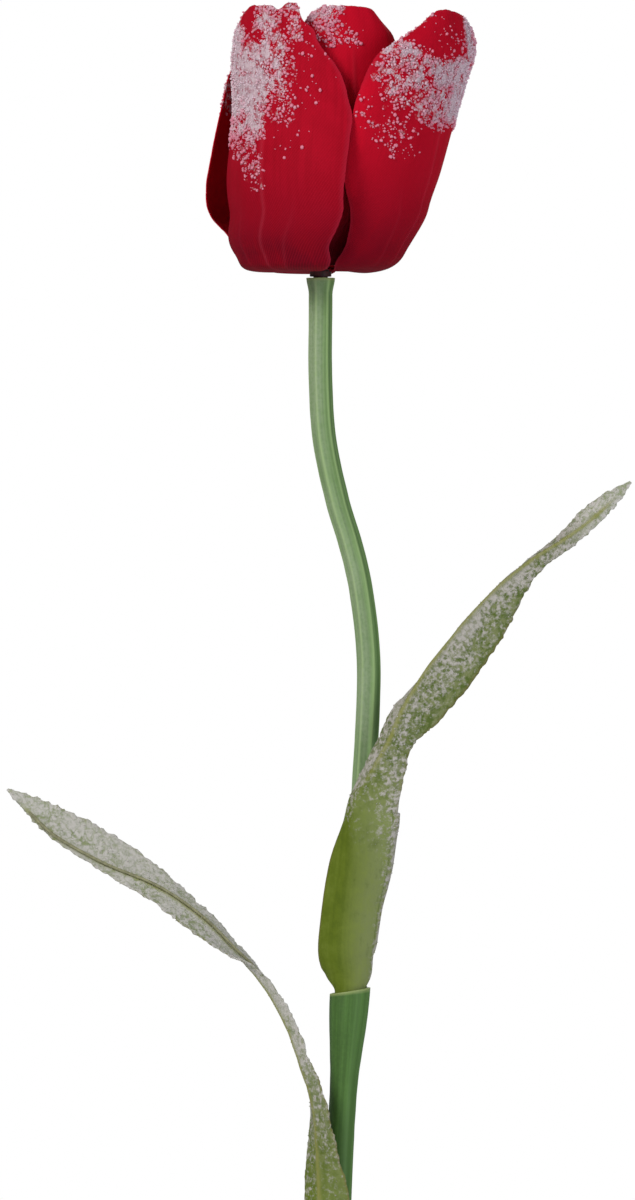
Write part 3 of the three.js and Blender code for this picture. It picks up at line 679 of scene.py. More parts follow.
def stemMoulding(name, tube, material):
    # rings of the tube's profile, with rounded lengthwise ribs and faint lumps outside
    heights, base, outside = tubeProfile(tube)
    up, below = heights[:, None], tube["top"] - heights[:, None]
    shown = np.arange(len(heights))[:, None] < outside
    angle = np.linspace(0, 2 * np.pi, stem["sides"], endpoint=False)[None, :]
    drift = stem["ribDrift"] * np.sin(up / stem["driftLength"])
    peak = (0.5 + 0.5 * np.cos(stem["ribs"] * (angle + drift))) ** stem["ribSharpness"]
    fade = smooth(below / stem["ribEnd"] - 0.1)
    x, y = tube["radius"] * np.cos(angle), tube["radius"] * np.sin(angle)
    lumpHeight, lumpSize = stem["lumps"]
    relief = fade * tube["ribHeight"] * (2 * peak - 1) + lumpHeight * noise(joined(x, y, up), lumpSize, 3)
    radii = base[:, None] + shown * relief
    # the slant of the mouth dies out evenly down the outside, and inside only the lip leans
    near = np.clip(1 - below / stem["slantLength"], 0, 1)
    slants = tube["slant"] * np.where(shown, near, smooth(near) * (below < 2 * stem["lip"]))
    uv = joined(tube["radius"] * angle, up)
    full, gone = stem["lipHighlight"]
    attributes = {
        "ridge": peak**4 * shown * (tube["ribHeight"] > 0.1),
        # the tinted side, paler on the upper tube and painted shade on the lower ones, is on the
        # left and a little more to the front
        "tintedLeftSide": smooth(0.5 - 0.9 * np.cos(angle - 0.25)) * smooth(0.75 - 0.9 * np.sin(angle)),
        # a painted highlight just below the edge of the mouth
        "lip": smooth((gone - below) / (gone - full)),
    }
    faces = gridQuads(*radii.shape, closedAcross=True, closedAlong=True)
    piece = makePiece(name, stemSurface(heights, radii, slants), faces, uv, attributes)
    dress(piece, material, "stem", tube["slot"], tube["node"])


for name, tube in tubes.items():
    stemMoulding(name, tube, upperStemPlastic if "upper" in name else lowerStemPlastic)
print("stem ready")


# The leaves
# Each row of a table: rise, reach and depth of the midrib as shares, then the right
# flange's width as a share and its angle, the left flange's width and angle, and the angle
# in degrees that both cup through. Frost rows, evenly spaced from foot to tip: left margin,
# midrib, right margin, and how suddenly the frost changes towards the right margin.
leaves = {
    "upper": {
        "node": 261, "tube": 2.5, "facing": 0, "rise": 113, "reach": 62.3, "depth": 12, "flange": 10,
        "length": 132, "ragged": 0.42, "crinkled": (0.28, 0.14), "ribStart": 0.33, "waist": 0.85,
        "pale": 1, "hem": 1, "bleached": 0,
        "table": [
            (0, 0, 0, 0.49, 0, 0.49, -180, 82), (0.045, 0, 0.02, 0.6, 0, 0.69, -180, 64),
            (0.09, -0.01, 0.1, 0.72, 0, 0.735, -180, 50), (0.174, 0, 0.24, 0.79, 0, 0.69, -178, 45),
            (0.257, 0.018, 0.42, 0.9, 0, 0.68, -165, 36), (0.33, 0.014, 0.58, 1.02, 0, 0.48, -134, 22),
            (0.385, 0.022, 0.6, 1, 2, 0.3, -130, 18), (0.452, 0.09, 0.6, 0.72, 4, 0.36, -134, 12),
            (0.505, 0.144, 0.58, 0.54, -10, 0.36, -134, 10), (0.56, 0.188, 0.54, 0.82, -10, 0.34, -130, 10),
            (0.64, 0.278, 0.45, 0.98, -2, 0.14, -90, 12), (0.72, 0.395, 0.36, 0.93, -2, 0.36, -90, 12),
            (0.775, 0.486, 0.28, 0.77, -2, 0.32, -94, 10), (0.82, 0.577, 0.22, 0.5, -6, 0.28, -98, 8),
            (0.858, 0.673, 0.16, 0.28, -10, 0.28, -106, 6), (0.89, 0.768, 0.12, 0.24, -8, 0.32, -125, 6),
            (0.925, 0.856, 0.08, 0.17, 0, 0.36, -150, 8), (0.962, 0.932, 0.04, 0.12, 0, 0.26, -165, 8),
            (1, 1, 0, 0.03, 0, 0.03, -165, 0),
        ],
        "frost": [
            (0, 0, 0.7, 9), (0, 0, 0.9, 9), (0, 0, 1, 8), (0, 0.02, 1, 6), (0.1, 0.1, 1, 4),
            (1, 0.2, 0.9, 2.5), (1, 0.55, 0.4, 1.1), (1, 0.62, 0.08, 0.9), (1, 0.9, 0.05, 1),
            (0.8, 1, 0.1, 1.1), (0.8, 1, 0.35, 1.6), (0.8, 1, 0.8, 1), (1, 0.9, 0.9, 1),
            (1, 1, 1, 1), (1, 1, 1, 1),
        ],
    },
    "lower": {
        "node": 190, "tube": 3.0, "facing": -40, "rise": 115.8, "reach": -70.5, "depth": 10, "flange": 9,
        "length": 140, "ragged": 0.6, "crinkled": (0.1, 0.2), "ribStart": 0.05, "waist": 0,
        "pale": 0.5, "hem": 0, "bleached": 0.8,
        "table": [
            (0, 0, 0, 0.5, 40, 0.5, -140, 70), (0.11, 0.006, 0.06, 0.62, 32, 0.5, -146, 55),
            (0.216, 0.017, 0.16, 0.76, 22, 0.44, -158, 26), (0.312, 0.023, 0.22, 0.62, 46, 0.5, -130, 20),
            (0.4, 0.037, 0.28, 0.5, 54, 0.48, -104, 16), (0.476, 0.076, 0.3, 0.36, 48, 0.4, -84, 14),
            (0.569, 0.133, 0.28, 0.3, 46, 0.4, -84, 14), (0.643, 0.21, 0.28, 0.26, 56, 0.42, -78, 14),
            (0.697, 0.294, 0.28, 0.42, 120, 0.42, -68, 14), (0.758, 0.397, 0.26, 0.54, 140, 0.42, -58, 12),
            (0.813, 0.53, 0.22, 0.42, 145, 0.56, -45, 12), (0.858, 0.7, 0.14, 0.18, 152, 0.8, -25, 10),
            (0.91, 0.85, 0.07, 0.07, 165, 0.74, -15, 10), (0.956, 0.932, 0.03, 0.05, 170, 0.46, -10, 6),
            (1, 1, 0, 0.03, 175, 0.03, -5, 0),
        ],
        "frost": [
            (0.06, 0.02, 0.04, 1), (0.15, 0.06, 0.09, 1), (0.35, 0.1, 0.2, 1), (0.78, 0.4, 0.55, 0.8),
            (1, 0.85, 0.95, 0.8), (0.95, 0.95, 1, 0.8), (0.9, 1, 1, 0.8), (0.85, 1, 1, 0.8),
            (0.9, 1, 1, 0.8), (0.9, 1, 1, 0.8), (0.8, 0.9, 0.8, 0.8),
        ],
    },
}
leafMake = {
    "tuck": 1.3,  # how far the foot stands down in the mouth
    "standOff": 0.55,  # from the tube to the cloth
    "thickness": 0.5,
    "shownThickness": 0.42,
    "cutThinner": 0.2,
    "ribHeight": 0.3,
    "ribWidth": 0.5,
    "waves": (0.1, 5.0),  # height and size of the soft waves and of the sharp crinkles
    "crinkles": (0.16, 1.7),
    "rowSpacing": 0.55,
    "columns": 57,
    "wireRadius": 0.32,
    "wireGap": 0.3,
    "wireShares": (0.14, 0.93),  # the wire's ends along the midrib
    "wireRings": 150,
    "wireSides": 14,
}


def leafMidrib(leaf, share):
    # the midrib's points: it leaves the tube's side on which it faces, and the table's
    # shares lead it up, out and forward
    up, out, front = (tableAt(leaf["table"], share)[..., k] for k in range(3))
    radius = leaf["tube"] + leafMake["standOff"] + leafMake["thickness"] / 2
    facing = np.radians(leaf["facing"])
    x = stemAt(leaf["node"])[0][0] + radius * np.sin(facing) + out * leaf["reach"]
    y = -radius * np.cos(facing) - front * leaf["depth"]
    return np.stack([x, y, leaf["node"] - leafMake["tuck"] + up * (leaf["rise"] + leafMake["tuck"])], -1)


def leafFrame(leaf, share):
    # the midrib's point, the direction to its right and the direction out of the leaf
    step = 0.004
    ahead, behind = np.minimum(share + step, 1), np.maximum(share - step, 0)
    along = unit(leafMidrib(leaf, ahead) - leafMidrib(leaf, behind))
    side = unit(np.cross(np.array([0.0, 1.0, 0.0]), along))
    return leafMidrib(leaf, share), side, unit(np.cross(side, along))


def leafCrinkled(leaf, share):
    # 0 on the smooth foot and 1 where the cloth is crumpled
    start, length = leaf["crinkled"]
    return smooth((share - start) / length)


def leafGrid(leaf, across, share):
    # each flange is an arc that leaves the midrib at its angle and turns through its cup;
    # the cut margins are a little ragged
    row = np.moveaxis(tableAt(leaf["table"], share)[:, 3:, None], 1, 0)
    rightWidth, rightAngle, leftWidth, leftAngle, cup = row
    point, side, front = (v[:, None, :] for v in leafFrame(leaf, share))
    across, up = across[None, :], share[:, None]
    isLeft, far = across < 0, np.abs(across)
    angle = np.radians(np.where(isLeft, leftAngle, rightAngle))
    width = np.where(isLeft, leftWidth, rightWidth) * leaf["flange"]
    # the foot is waisted where it turns in the mouth of the flare
    width = width - leaf["waist"] * np.exp(-(((up - 0.022) / 0.015) ** 2))
    bend = np.where(isLeft, 1, -1) * np.radians(np.maximum(cup, 0.5))
    ends = smooth(up / 0.06) * smooth((1 - up) / 0.03)
    teeth = fray(joined(up * leaf["length"], np.where(isLeft, -9.0, 9.0), 0.0), 0.9, 0.4, 5)
    ragged = leaf["ragged"] * (0.08 + 0.92 * leafCrinkled(leaf, up)) * ends * teeth
    arc = (width + ragged * far**5) / bend
    right = arc * (np.sin(angle + bend * far) - np.sin(angle))
    ahead = arc * (np.cos(angle) - np.cos(angle + bend * far))
    return point + side * right[..., None] + front * ahead[..., None], width * across


def leafPiece(key, leaf):
    # the blade's surface, raised by its rib, waves and crinkles, and what its cloth shows
    share = np.linspace(0, 1, int(leaf["length"] / leafMake["rowSpacing"]))
    even = np.linspace(-1, 1, leafMake["columns"])
    across = np.sign(even) * np.abs(even) ** 0.9
    grid, breadth = leafGrid(leaf, across, share)
    across, up = across[None, :], share[:, None]
    isLeft, far, length = across < 0, np.abs(across), up * leaf["length"]
    # the wire lifts a rib along the middle, and frosted cloth is crinkled
    ribShare = smooth((up - leaf["ribStart"]) / 0.08) * smooth((0.97 - up) / 0.05)
    rib = np.exp(-((breadth / leafMake["ribWidth"]) ** 2)) * ribShare
    rough = leafCrinkled(leaf, up)
    (waveHeight, waveSize), (crinkleHeight, crinkleSize) = leafMake["waves"], leafMake["crinkles"]
    wave = noise(joined(breadth, length, 0.0), waveSize, 11)
    crinkle = noise(joined(breadth, length * 0.7, 0.0), crinkleSize, 12)
    lift = waveHeight * wave * smooth(up / 0.2) + crinkleHeight * crinkle * rough
    grid = grid + gridNormals(grid) * lift[..., None]
    margin = smooth((far - 0.9) / 0.1)
    thickness = leafMake["shownThickness"] + leafMake["ribHeight"] * rib - leafMake["cutThinner"] * margin
    frostRow = tableAt(leaf["frost"], share)
    leftSide, middle, rightSide, fall = (frostRow[:, k : k + 1] for k in range(4))
    frost = middle + (np.where(isLeft, leftSide, rightSide) - middle) * far ** np.where(isLeft, 0.5, fall)
    patches = noise(joined(breadth, length * 0.5, 0.0), 2.4, 13)
    frost = np.clip(frost * (0.9 + 0.35 * patches), 0, 1)
    # the doubled hem and its seam line run along the right margin of the lower half
    hemmed = leaf["hem"] * smooth((0.44 - up) / 0.06)
    attributes = {
        "margin": margin,
        "rib": rib,
        "crinkled": rough,
        "pale": leaf["pale"] * smooth((across + 0.45) / 1.3),
        "hem": hemmed * smooth((across - 0.86) / 0.05),
        "seam": hemmed * np.exp(-(((across - 0.84) / 0.022) ** 2)),
        "bleached": np.maximum(leaf["bleached"] * smooth((up - 0.2) / 0.22), smooth((up - 0.8) / 0.12)),
        "frost": frost,
    }
    piece = sheetPiece(f"{key}_leaf_cloth", grid, thickness, joined(breadth + 20, length), attributes)
    dress(piece, leafCloth, f"{key}_leaf", "leaf_fabric", f"{key}_leaf_blade")
    return grid, thickness, frost


def cappedTube(name, rings, ends):
    # quads along the tube, and at each end a fan of flat quads about its middle point
    count, sides = rings.shape[:2]
    last = (count - 1) * sides
    j = np.arange(0, sides, 2)
    k, l = (j + 1) % sides, (j + 2) % sides
    foot = joined(count * sides, l, k, j)
    tip = joined(count * sides + 1, j + last, k + last, l + last)
    faces = np.concatenate([gridQuads(count, sides, closedAcross=True), foot, tip])
    return makePiece(name, np.concatenate([rings.reshape(-1, 3), ends]), faces)


def leafWirePiece(key, leaf):
    # the covered wire lies along the midrib on the inner side, clear of both flanges
    count, radius = leafMake["wireRings"], leafMake["wireRadius"]
    share = np.linspace(*leafMake["wireShares"], count)
    row = tableAt(leaf["table"], share)
    opening = np.minimum(np.radians(row[:, 4] - row[:, 6]) / 2, np.pi / 2)
    middle = np.radians(row[:, 6]) + opening
    away = (radius + leafMake["wireGap"] + leafMake["thickness"] / 2) / np.sin(opening)
    point, side, front = leafFrame(leaf, share)
    centres = point + side * (away * np.cos(middle))[:, None] + front * (away * np.sin(middle))[:, None]
    along = unit(np.gradient(centres, axis=0))
    first = unit(np.cross(along, np.array([0.0, 1.0, 0.0])))
    second = np.cross(along, first)
    angle = np.linspace(0, 2 * np.pi, leafMake["wireSides"], endpoint=False)[None, :, None]
    # both ends are rounded over three rings
    short = 1 - np.minimum(np.arange(count), np.arange(count)[::-1]) / 3
    radii = radius * np.sqrt(np.clip(1 - short.clip(0) ** 2, 0.02, 1))[:, None, None]
    rings = centres[:, None] + radii * (first[:, None] * np.cos(angle) + second[:, None] * np.sin(angle))
    piece = cappedTube(f"{key}_leaf_rib_wire", rings, centres[[0, -1]])
    dress(piece, coveredWire, f"{key}_leaf", "covered_wire", f"{key}_leaf_wire")


leafSheets = {}
for key, leaf in leaves.items():
    leafSheets[key] = leafPiece(key, leaf)
    leafWirePiece(key, leaf)
print("leaves ready")


# The head
head = {
    "base": 420.8,
    "height": 59.2,
    "centre": -3.42,
    "shift": 3.1,
    "clawRadius": 3.1,
    "spiral": 0.45,
    "marginDrop": 1.6,
    "thickness": 0.45,
    "cutThinner": 0.2,
    # each vein: place across at the foot, how far it bows out, where it ends, strength
    "veins": [(0.1, -0.08, 0.85, 1), (-0.2, -0.3, 0.55, 0.4), (0.3, 0.26, 0.55, 0.4)],
    "veinHeight": 0.16,
    "creases": 0.34,
    "gathers": 0.16,
    "rows": 170,
    "columns": 161,
}
# Profiles run from claw to tip: distance out and height, as shares of the petal's radius
# and rise. Spans are shares of its whole span, evenly spaced from foot to tip.
closedProfile = [
    (0.4, -0.012), (0.7, 0), (0.8, 0.055), (0.93, 0.16), (1, 0.34), (0.955, 0.58), (0.965, 0.76),
    (0.95, 0.89), (0.91, 1),
]
leaningProfile = [
    (0.44, -0.012), (0.67, 0.016), (0.79, 0.09), (0.845, 0.235), (0.95, 0.37), (1.06, 0.54), (1.17, 0.7),
    (1.26, 0.85), (1.2, 0.985),
]
bulgingProfile = [
    (0.42, -0.012), (0.7, 0.035), (0.91, 0.13), (1.13, 0.215), (1.165, 0.32), (1.095, 0.49), (1.02, 0.67),
    (0.99, 0.8), (0.9, 0.94),
]
innerProfile = [
    (0.34, 0.006), (0.52, 0.04), (0.68, 0.14), (0.84, 0.32), (0.95, 0.5), (1, 0.68), (0.99, 0.8),
    (0.94, 0.91), (0.86, 0.99),
]
broadSpan = [0.8, 0.9, 0.98, 1, 1, 1, 1, 0.94, 0.74, 0.44]
roundSpan = [0.8, 0.84, 0.88, 0.84, 0.94, 1, 1, 0.91, 0.75, 0.32]
leftSpan = [0.8, 0.87, 0.92, 0.81, 0.972, 1.065, 1.01, 0.91, 0.75, 0.32]
innerSpan = [0.72, 0.74, 0.84, 0.93, 0.99, 1, 0.95, 0.84, 0.7, 0.4]
fullSpan = [0.72, 0.74, 0.84, 0.93, 0.99, 1, 0.95, 0.86, 0.77, 0.56]
outerRing = {"radius": 24.4, "claw": 0.7}
innerRing = {"radius": 20.5, "claw": 1.7, "profile": innerProfile}

# Facing and span are degrees round from the front towards the right. The lobes lift or
# lower the tip across the petal. A nick pulls the right margin in: how far up, how many
# degrees, and how long it fades below and above. A frost stroke is two ends and an
# amount, each end a sideways place, a height and a half width; a fold is the same, raised
# by its amount; a bare patch is a place, a height and a radius that the brush missed.
# The painted light brightens a petal that lies in shade, and the left margin of one on which the petal in
# front casts its shadow; the painted shade darkens its lower part.
petals = {
    "outer_petal_front": {
        **outerRing, "profile": closedProfile, "spread": broadSpan, "facing": -44, "span": 51,
        "leftDraw": 0.4, "rightDraw": -0.2, "tip": 1, "ragged": 0.12, "paintedLight": 0,
        "lobes": [-0.5, -0.3, -0.3, -0.8, -1.0, -1.0, -1.6, 0.1, 0.9],
        "nicks": [
            (0.928, 4.4, 0.022, 0.04), (0.85, 6, 0.08, 0.06), (0.66, -2.2, 0.035, 0.04),
            (0.52, 2.6, 0.09, 0.06), (0.36, 2.0, 0.05, 0.06),
        ],
        "frost": [
            ((-22.6, 478, 1.8), (-22.7, 470, 2.6), 0.9), ((-22.7, 470, 2.6), (-22.6, 457, 2.8), 1.0),
            ((-14.4, 479, 2.4), (-15.8, 470, 2.8), 0.62), ((-18, 467, 3.8), (-19.2, 458, 3.6), 1.0),
            ((-14.4, 472, 2.8), (-13.8, 460, 2.4), 0.55), ((-19.2, 457, 3.6), (-19.2, 452, 3.4), 0.62),
            ((-20, 450, 3), (-17.5, 440, 1.6), 0.22), ((-9.6, 478, 2), (-8.6, 472, 1.2), 0.4),
            ((-11, 470, 3), (-12, 455, 3), 0.12), ((-8, 468, 7), (-12, 452, 6), 0.02),
        ],
        "bare": [(-19.6, 475.6, 1.3), (-17.2, 472.2, 1.3)],
        "folds": [
            ((-15.8, 465.6, 0.6), (-18.9, 460.5, 0.7), 0.5),
            ((-20.3, 471.6, 0.5), (-17.2, 467.6, 0.5), 0.35),
        ],
    },
    "outer_petal_right": {
        **outerRing, "profile": leaningProfile, "spread": leftSpan, "facing": 63, "span": 54,
        "leftDraw": 2.6, "rightDraw": 0.5, "tip": 1, "ragged": 0.14,
        "paintedLight": 0.3, "leftPaintedLight": 0.6, "paintedShade": 0.3,
        "lobes": [-3.2, -1.6, -0.8, -0.9, -1.2, -1.5, -1.5, -1.3, -1],
        "frost": [
            ((11.6, 469.6, 1.4), (15.4, 469, 1.6), 0.8), ((12, 467, 2.2), (19, 466, 2.8), 0.5),
            ((16, 463, 2.6), (21, 462.4, 3), 0.54), ((22.6, 464, 2.8), (27, 463, 3.2), 0.85),
            ((27.8, 466, 1.8), (26, 455.6, 1.8), 1.0), ((20.6, 459, 2.6), (24.6, 455, 2), 0.5),
            ((10.5, 464, 2.4), (15, 458, 2.4), 0.36), ((18, 456, 1.6), (22, 453, 1.6), 0.3),
            ((14.4, 458.6, 0.7), (15.8, 457, 0.6), 0.8), ((18.4, 457, 0.7), (19.6, 455.6, 0.7), 0.7),
            ((6, 455, 0.6), (8, 452.4, 0.6), 0.45), ((8, 456, 3.4), (14, 450, 4), 0.07),
            ((14, 472.4, 1.3), (20, 477, 1.2), 0.5), ((28.7, 476.4, 0.8), (30, 468, 1), 0.9),
            ((20, 476, 3), (26, 470, 3), 0.03),
        ],
    },
    "outer_petal_back": {
        **outerRing, "profile": bulgingProfile, "spread": roundSpan, "facing": 210, "span": 54,
        "leftDraw": 0.6, "rightDraw": 0.2, "tip": 0.98, "ragged": 0.34, "paintedLight": 0.6,
        "lobes": [-0.8, -0.1, 0.3, 0, -0.2, 0.1, 0.4, 0, -0.8],
        "frost": [
            ((-20, 470, 4), (-14, 462, 5), 0.85), ((-14, 462, 5), (-4, 470, 4), 0.6),
            ((-22, 466, 2), (-24, 458, 1.5), 0.5), ((-12, 455, 7), (-6, 462, 7), 0.06),
        ],
    },
    "inner_petal_front": {
        **innerRing, "spread": fullSpan, "facing": 10, "span": 48,
        "leftDraw": 1.2, "rightDraw": 1.8, "tip": 1, "gathers": 0.34, "ragged": 0.1,
        "paintedLight": 0.36, "paintedShade": 0.75,
        "lobes": [-0.5, 0, -0.2, -0.5, -0.6, -0.6, -0.5, -0.6, -1.4],
        "nicks": [(0.87, 2.5, 0.1, 0.16)],
        "frost": [
            ((-5.5, 477, 1.6), (0.4, 477.8, 1.3), 0.62), ((-3.6, 475, 1.8), (0.6, 474, 1.2), 0.3),
            ((-3, 471.5, 2.6), (3.6, 472, 2), 0.06),
        ],
    },
    "inner_petal_right": {
        **innerRing, "spread": innerSpan, "facing": 124, "span": 48,
        "leftDraw": 0.8, "rightDraw": 0.6, "tip": 0.86, "ragged": 0.12, "paintedLight": 0.2,
        "lobes": [-0.5, 0, 0.3, 0.1, 0, 0.2, 0.3, 0, -0.6],
        "frost": [((8, 468, 2), (16, 464, 3), 0.7), ((6, 462, 4), (14, 458, 4), 0.08)],
    },
    "inner_petal_left": {
        **innerRing, "spread": innerSpan, "facing": 258, "span": 50,
        "leftDraw": 0.6, "rightDraw": 0.6, "tip": 0.96, "ragged": 0.12, "paintedLight": 0.2,
        "lobes": [-0.6, -0.1, 0.2, 0.3, 0.1, 0, 0.2, -0.1, -0.7],
        "frost": [((-20, 474, 2.5), (-19, 462, 4), 0.8), ((-17, 462, 4), (-16, 454, 4), 0.1)],
    },
}


def petalVeins(u, v):
    # fine ridges: one up the middle, and one a side that bows out and fades
    total = 0
    for start, bow, until, strength in head["veins"]:
        away = (u - start - bow * v) / (0.016 + 0.01 * v)
        total = total + strength * np.exp(-(away**2)) * smooth(v / 0.08) * smooth((until - v) / 0.2)
    return total


def petalGrid(petal, u, v):
    # the CAD's petal: a profile from claw to tip, swung round the head's axis by the
    # spread of the petal at each height, with margins drawn in and a spiral overlap,
    # and here also lobed, nicked, ragged and gently creased
    claw, ragged, facing = petal["claw"], petal["ragged"], float(petal["facing"])
    rise = petal["tip"] * head["height"] - claw
    profile = np.array(petal["profile"]) * (petal["radius"], rise) + (0, claw)
    out, up = np.moveaxis(tableAt(np.vstack([(head["clawRadius"], claw), profile]), v), -1, 0)
    spread = tableAt(np.array(petal["spread"])[:, None], v)[..., 0]
    lobe = tableAt(np.array(petal["lobes"])[:, None], (u + 1) / 2)[..., 0]
    draw = np.where(u < 0, petal["leftDraw"], petal["rightDraw"])
    reach = out - smooth(v / 0.35) * (draw * u * u - head["spiral"] * u)
    lift = up - head["marginDrop"] * u * u * v * v + lobe * smooth((v - 0.8) / 0.2)
    # fraying of the cut margins, along the sides and along the tip
    sideFray = ragged * fray(joined(v * 60, np.sign(u) * 9, facing), 1.7, 0.5, 21)
    lift = lift + ragged * fray(joined(u * 20, 0 * v, facing), 1.6, 0.5, 23) * smooth((v - 0.9) / 0.1)
    swing = np.radians(facing + u * spread * petal["span"])
    swing = swing + u * np.abs(u) ** 5 * sideFray / petal["radius"] * smooth(v / 0.2)
    for place, depth, below, above in petal.get("nicks", []):
        away = (v - place) / np.where(v < place, below, above)
        swing = swing - np.radians(depth) * np.exp(-away * away) * smooth((u - 0.55) / 0.45)
    # lengthwise creases where the cloth was gathered, deeper towards the tip
    crease = head["creases"] * noise(joined(u * 18, v * 50, facing), 11, 25)
    gathers = petal.get("gathers", head["gathers"]) * noise(joined(u * 20, v * 14, facing), 3.6, 27)
    crease = crease + gathers * (0.35 + 0.65 * v)
    # the claw's veins stand out a little and run together at the foot
    reach = reach + smooth(v / 0.3) * crease + head["veinHeight"] * petalVeins(u, v)
    x = head["centre"] + head["shift"] * smooth((lift - 4) / 10) + reach * np.sin(swing)
    return np.stack([x, -reach * np.cos(swing), head["base"] + lift], -1)


def lengthAlong(grid, axis):
    # how far each point of a surface is from its first one, measured along the grid
    steps = np.diff(grid, axis=axis, prepend=np.take(grid, [0], axis))
    return np.cumsum(np.linalg.norm(steps, axis=-1), axis=axis)


def petalPiece(name, petal):
    # the petal's surface with its pressed folds, and the frost, dye, rim and veins it shows;
    # the columns crowd towards the margins
    v = (np.linspace(0, 1, head["rows"]) ** 0.9)[:, None]
    turn = np.pi / 2 * 0.93
    u = np.sin(np.linspace(-1, 1, head["columns"]) * turn)[None, :] / np.sin(turn)
    grid = petalGrid(petal, u, v)
    folds = nearStrokes(grid[..., 0], grid[..., 2], petal.get("folds", []))
    grid = grid + gridNormals(grid) * folds[..., None]
    edge = np.maximum(np.abs(u), smooth((v - 0.9) / 0.1))
    thickness = head["thickness"] - head["cutThinner"] * smooth((edge - 0.94) / 0.06)
    width = lengthAlong(grid, 1)
    middle = head["columns"] // 2
    uv = joined(width - width[:, middle : middle + 1] + 40, lengthAlong(grid, 0))
    frost = nearStrokes(grid[..., 0], grid[..., 2], petal["frost"])
    for x, z, radius in petal.get("bare", []):
        frost = frost * (1 - 0.92 * smooth(1.6 - np.hypot(grid[..., 0] - x, grid[..., 2] - z) / radius))
    # the brush left clumps, most of all where the frost is thin
    clumps = noise(grid, 2.4, 31) + noise(grid, 1.3, 32)
    frost = np.clip(frost + 0.9 * frost * (1.3 - frost) * clumps, 0, 1)
    # painted light beside the left margin of a petal that peeps from under another, where
    # the petal in front casts its shadow
    peeping = smooth((-u - 0.68) / 0.25) * smooth((v - 0.4) / 0.12) * smooth((0.85 - v) / 0.1)
    attributes = {
        "along": v,
        "frost": frost,
        # where the painted highlight along the turned rim goes
        "rim": smooth((edge - 0.93) / 0.07),
        "vein": np.clip(petalVeins(u, v), 0, 1),
        # painted light on petals that lie in shade, growing towards the tip, and on the left margin under
        # the front petal's shadow
        "paintedLight": np.maximum(petal["paintedLight"] * smooth(v / 0.6), petal.get("leftPaintedLight", 0) * peeping),
        # painted shade on the lower part, darkest at the foot
        "paintedShade": petal.get("paintedShade", 0) * smooth((0.5 - v) / 0.35),
    }
    piece = sheetPiece(f"{name}_cloth", grid, thickness, uv, attributes)
    dress(piece, petalSatin, "head", "petal_fabric", name)
    return grid, thickness, frost


petalSheets = {name: petalPiece(name, petal) for name, petal in petals.items()}
print("petals ready")


# Frost flakes, glued to the cloth
# How many lie on each sheet, and the seed that places them.
petalFlakes = {
    "outer_petal_front": (3800, 101),
    "outer_petal_right": (4400, 102),
    "outer_petal_back": (2000, 103),
    "inner_petal_front": (700, 104),
    "inner_petal_right": (500, 105),
    "inner_petal_left": (900, 106),
}
leafFlakes = {"upper": (1200, 111), "lower": (1800, 112)}
# Radii in millimetres, the share on the outer face, and how many lie beside thick frost.
petalFrostLook = {"sizes": (0.1, 0.42), "frontShare": 0.88, "loose": 0.93}
leafFrostLook = {"sizes": (0.08, 0.22), "frontShare": 0.5, "loose": 0.1}


def icosahedron():
    # the corners of three golden rectangles, and every three of them that lie one edge
    # apart, turned so that the face looks outward
    golden = (1 + 5**0.5) / 2
    points = np.array([np.roll((a, b * golden, 0), k) for k in range(3) for a in (-1, 1) for b in (-1, 1)])
    faces = []
    for trio in itertools.combinations(range(len(points)), 3):
        a, b, c = points[list(trio)]
        if max(np.linalg.norm(a - b), np.linalg.norm(b - c), np.linalg.norm(c - a)) < 2.1:
            faces.append(trio if np.cross(b - a, c - a) @ a > 0 else trio[::-1])
    return points / np.linalg.norm(points[0]), np.array(faces)


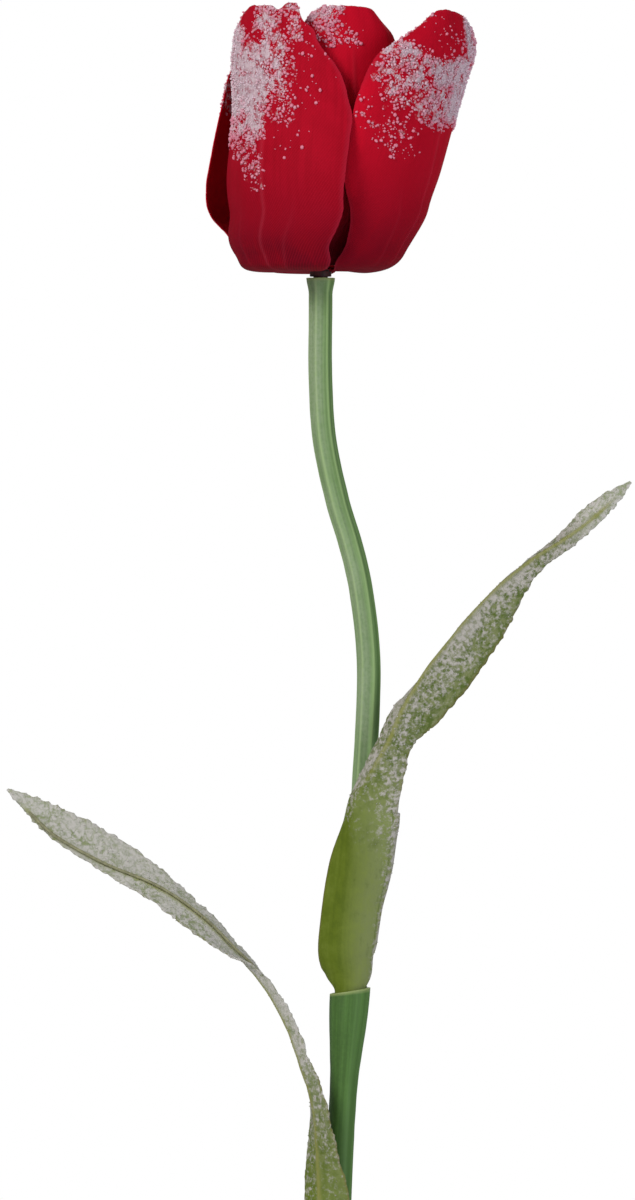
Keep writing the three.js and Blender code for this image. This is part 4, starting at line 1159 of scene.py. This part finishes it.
def frostPiece(name, sheet, count, seed, look, material, body, slot):
    # random places on the sheet, kept where the frost is thick, each with one small
    # squashed crystal that is turned at random and sunk a little into the cloth
    grid, thickness, frost = sheet
    random = np.random.default_rng(seed)
    rows, columns = frost.shape
    small, large = look["sizes"]
    cellArea = np.linalg.norm(np.cross(np.gradient(grid, axis=0), np.gradient(grid, axis=1)), axis=-1)
    chance = (cellArea * frost * (1.15 * look["loose"] + (1 - 2 * look["loose"]) * frost)).ravel()
    picks = random.choice(rows * columns, count, p=chance / chance.sum())
    i = np.clip(picks // columns + random.uniform(-0.5, 0.5, count), 0, rows - 1.001)
    j = np.clip(picks % columns + random.uniform(-0.5, 0.5, count), 0, columns - 1.001)
    i0, j0 = i.astype(int), j.astype(int)
    fi, fj = (i - i0)[:, None], (j - j0)[:, None]

    def between(values):
        # values at the places between the grid's points
        a = values[i0, j0] * (1 - fj) + values[i0, j0 + 1] * fj
        b = values[i0 + 1, j0] * (1 - fj) + values[i0 + 1, j0 + 1] * fj
        return a * (1 - fi) + b * fi

    normal = unit(between(gridNormals(grid)))
    side = np.where(random.uniform(0, 1, count) < look["frontShare"], 1.0, -1.0)[:, None]
    cover = frost[i0, j0]
    size = (small + (large - small) * random.uniform(0, 1, count) ** 2) * (1.2 - 0.45 * cover)
    place = between(grid) + side * normal * (between(thickness[..., None]) / 2 + 0.35 * size[:, None])
    # a quaternion (w, q) turns a corner p to p + w t + q x t, with t = 2 q x p
    turn = unit(random.normal(size=(count, 4)))[:, None, :]
    w, q = turn[..., :1], turn[..., 1:]
    crystal, faces = icosahedron()
    corners = crystal * size[:, None, None] * random.uniform(0.55, 1.25, (count, 1, 3))
    t = 2 * np.cross(q, corners)
    points = corners + w * t + np.cross(q, t) + place[:, None]
    allFaces = (faces + len(crystal) * np.arange(count)[:, None, None]).reshape(-1, 3)
    piece = makePiece(name, points, allFaces, attributes={"frost": cover[:, None]})
    dress(piece, material, body, slot)


for name, (count, seed) in petalFlakes.items():
    home = ("head", "petal_fabric")
    frostPiece(f"{name}_frost", petalSheets[name], count, seed, petalFrostLook, frostFlakes, *home)
for key, (count, seed) in leafFlakes.items():
    home = (f"{key}_leaf", "leaf_fabric")
    frostPiece(f"{key}_leaf_frost", leafSheets[key], count, seed, leafFrostLook, leafFrost, *home)
print("frost ready")


# Carried-over CAD pieces
finishes = {
    "core_wire": steelWire,
    "lower_leaf_collar": collarPlastic,
    "upper_leaf_collar": collarPlastic,
    "receptacle": receptacleShadeMoulding,
    "pistil": pistilPlastic,
    **{f"stamen_{k}": antherFlock for k in range(1, 7)},
}
for node, material in finishes.items():
    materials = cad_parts[node].data.materials
    materials.clear()
    materials.append(material)
print("carried-over pieces ready")
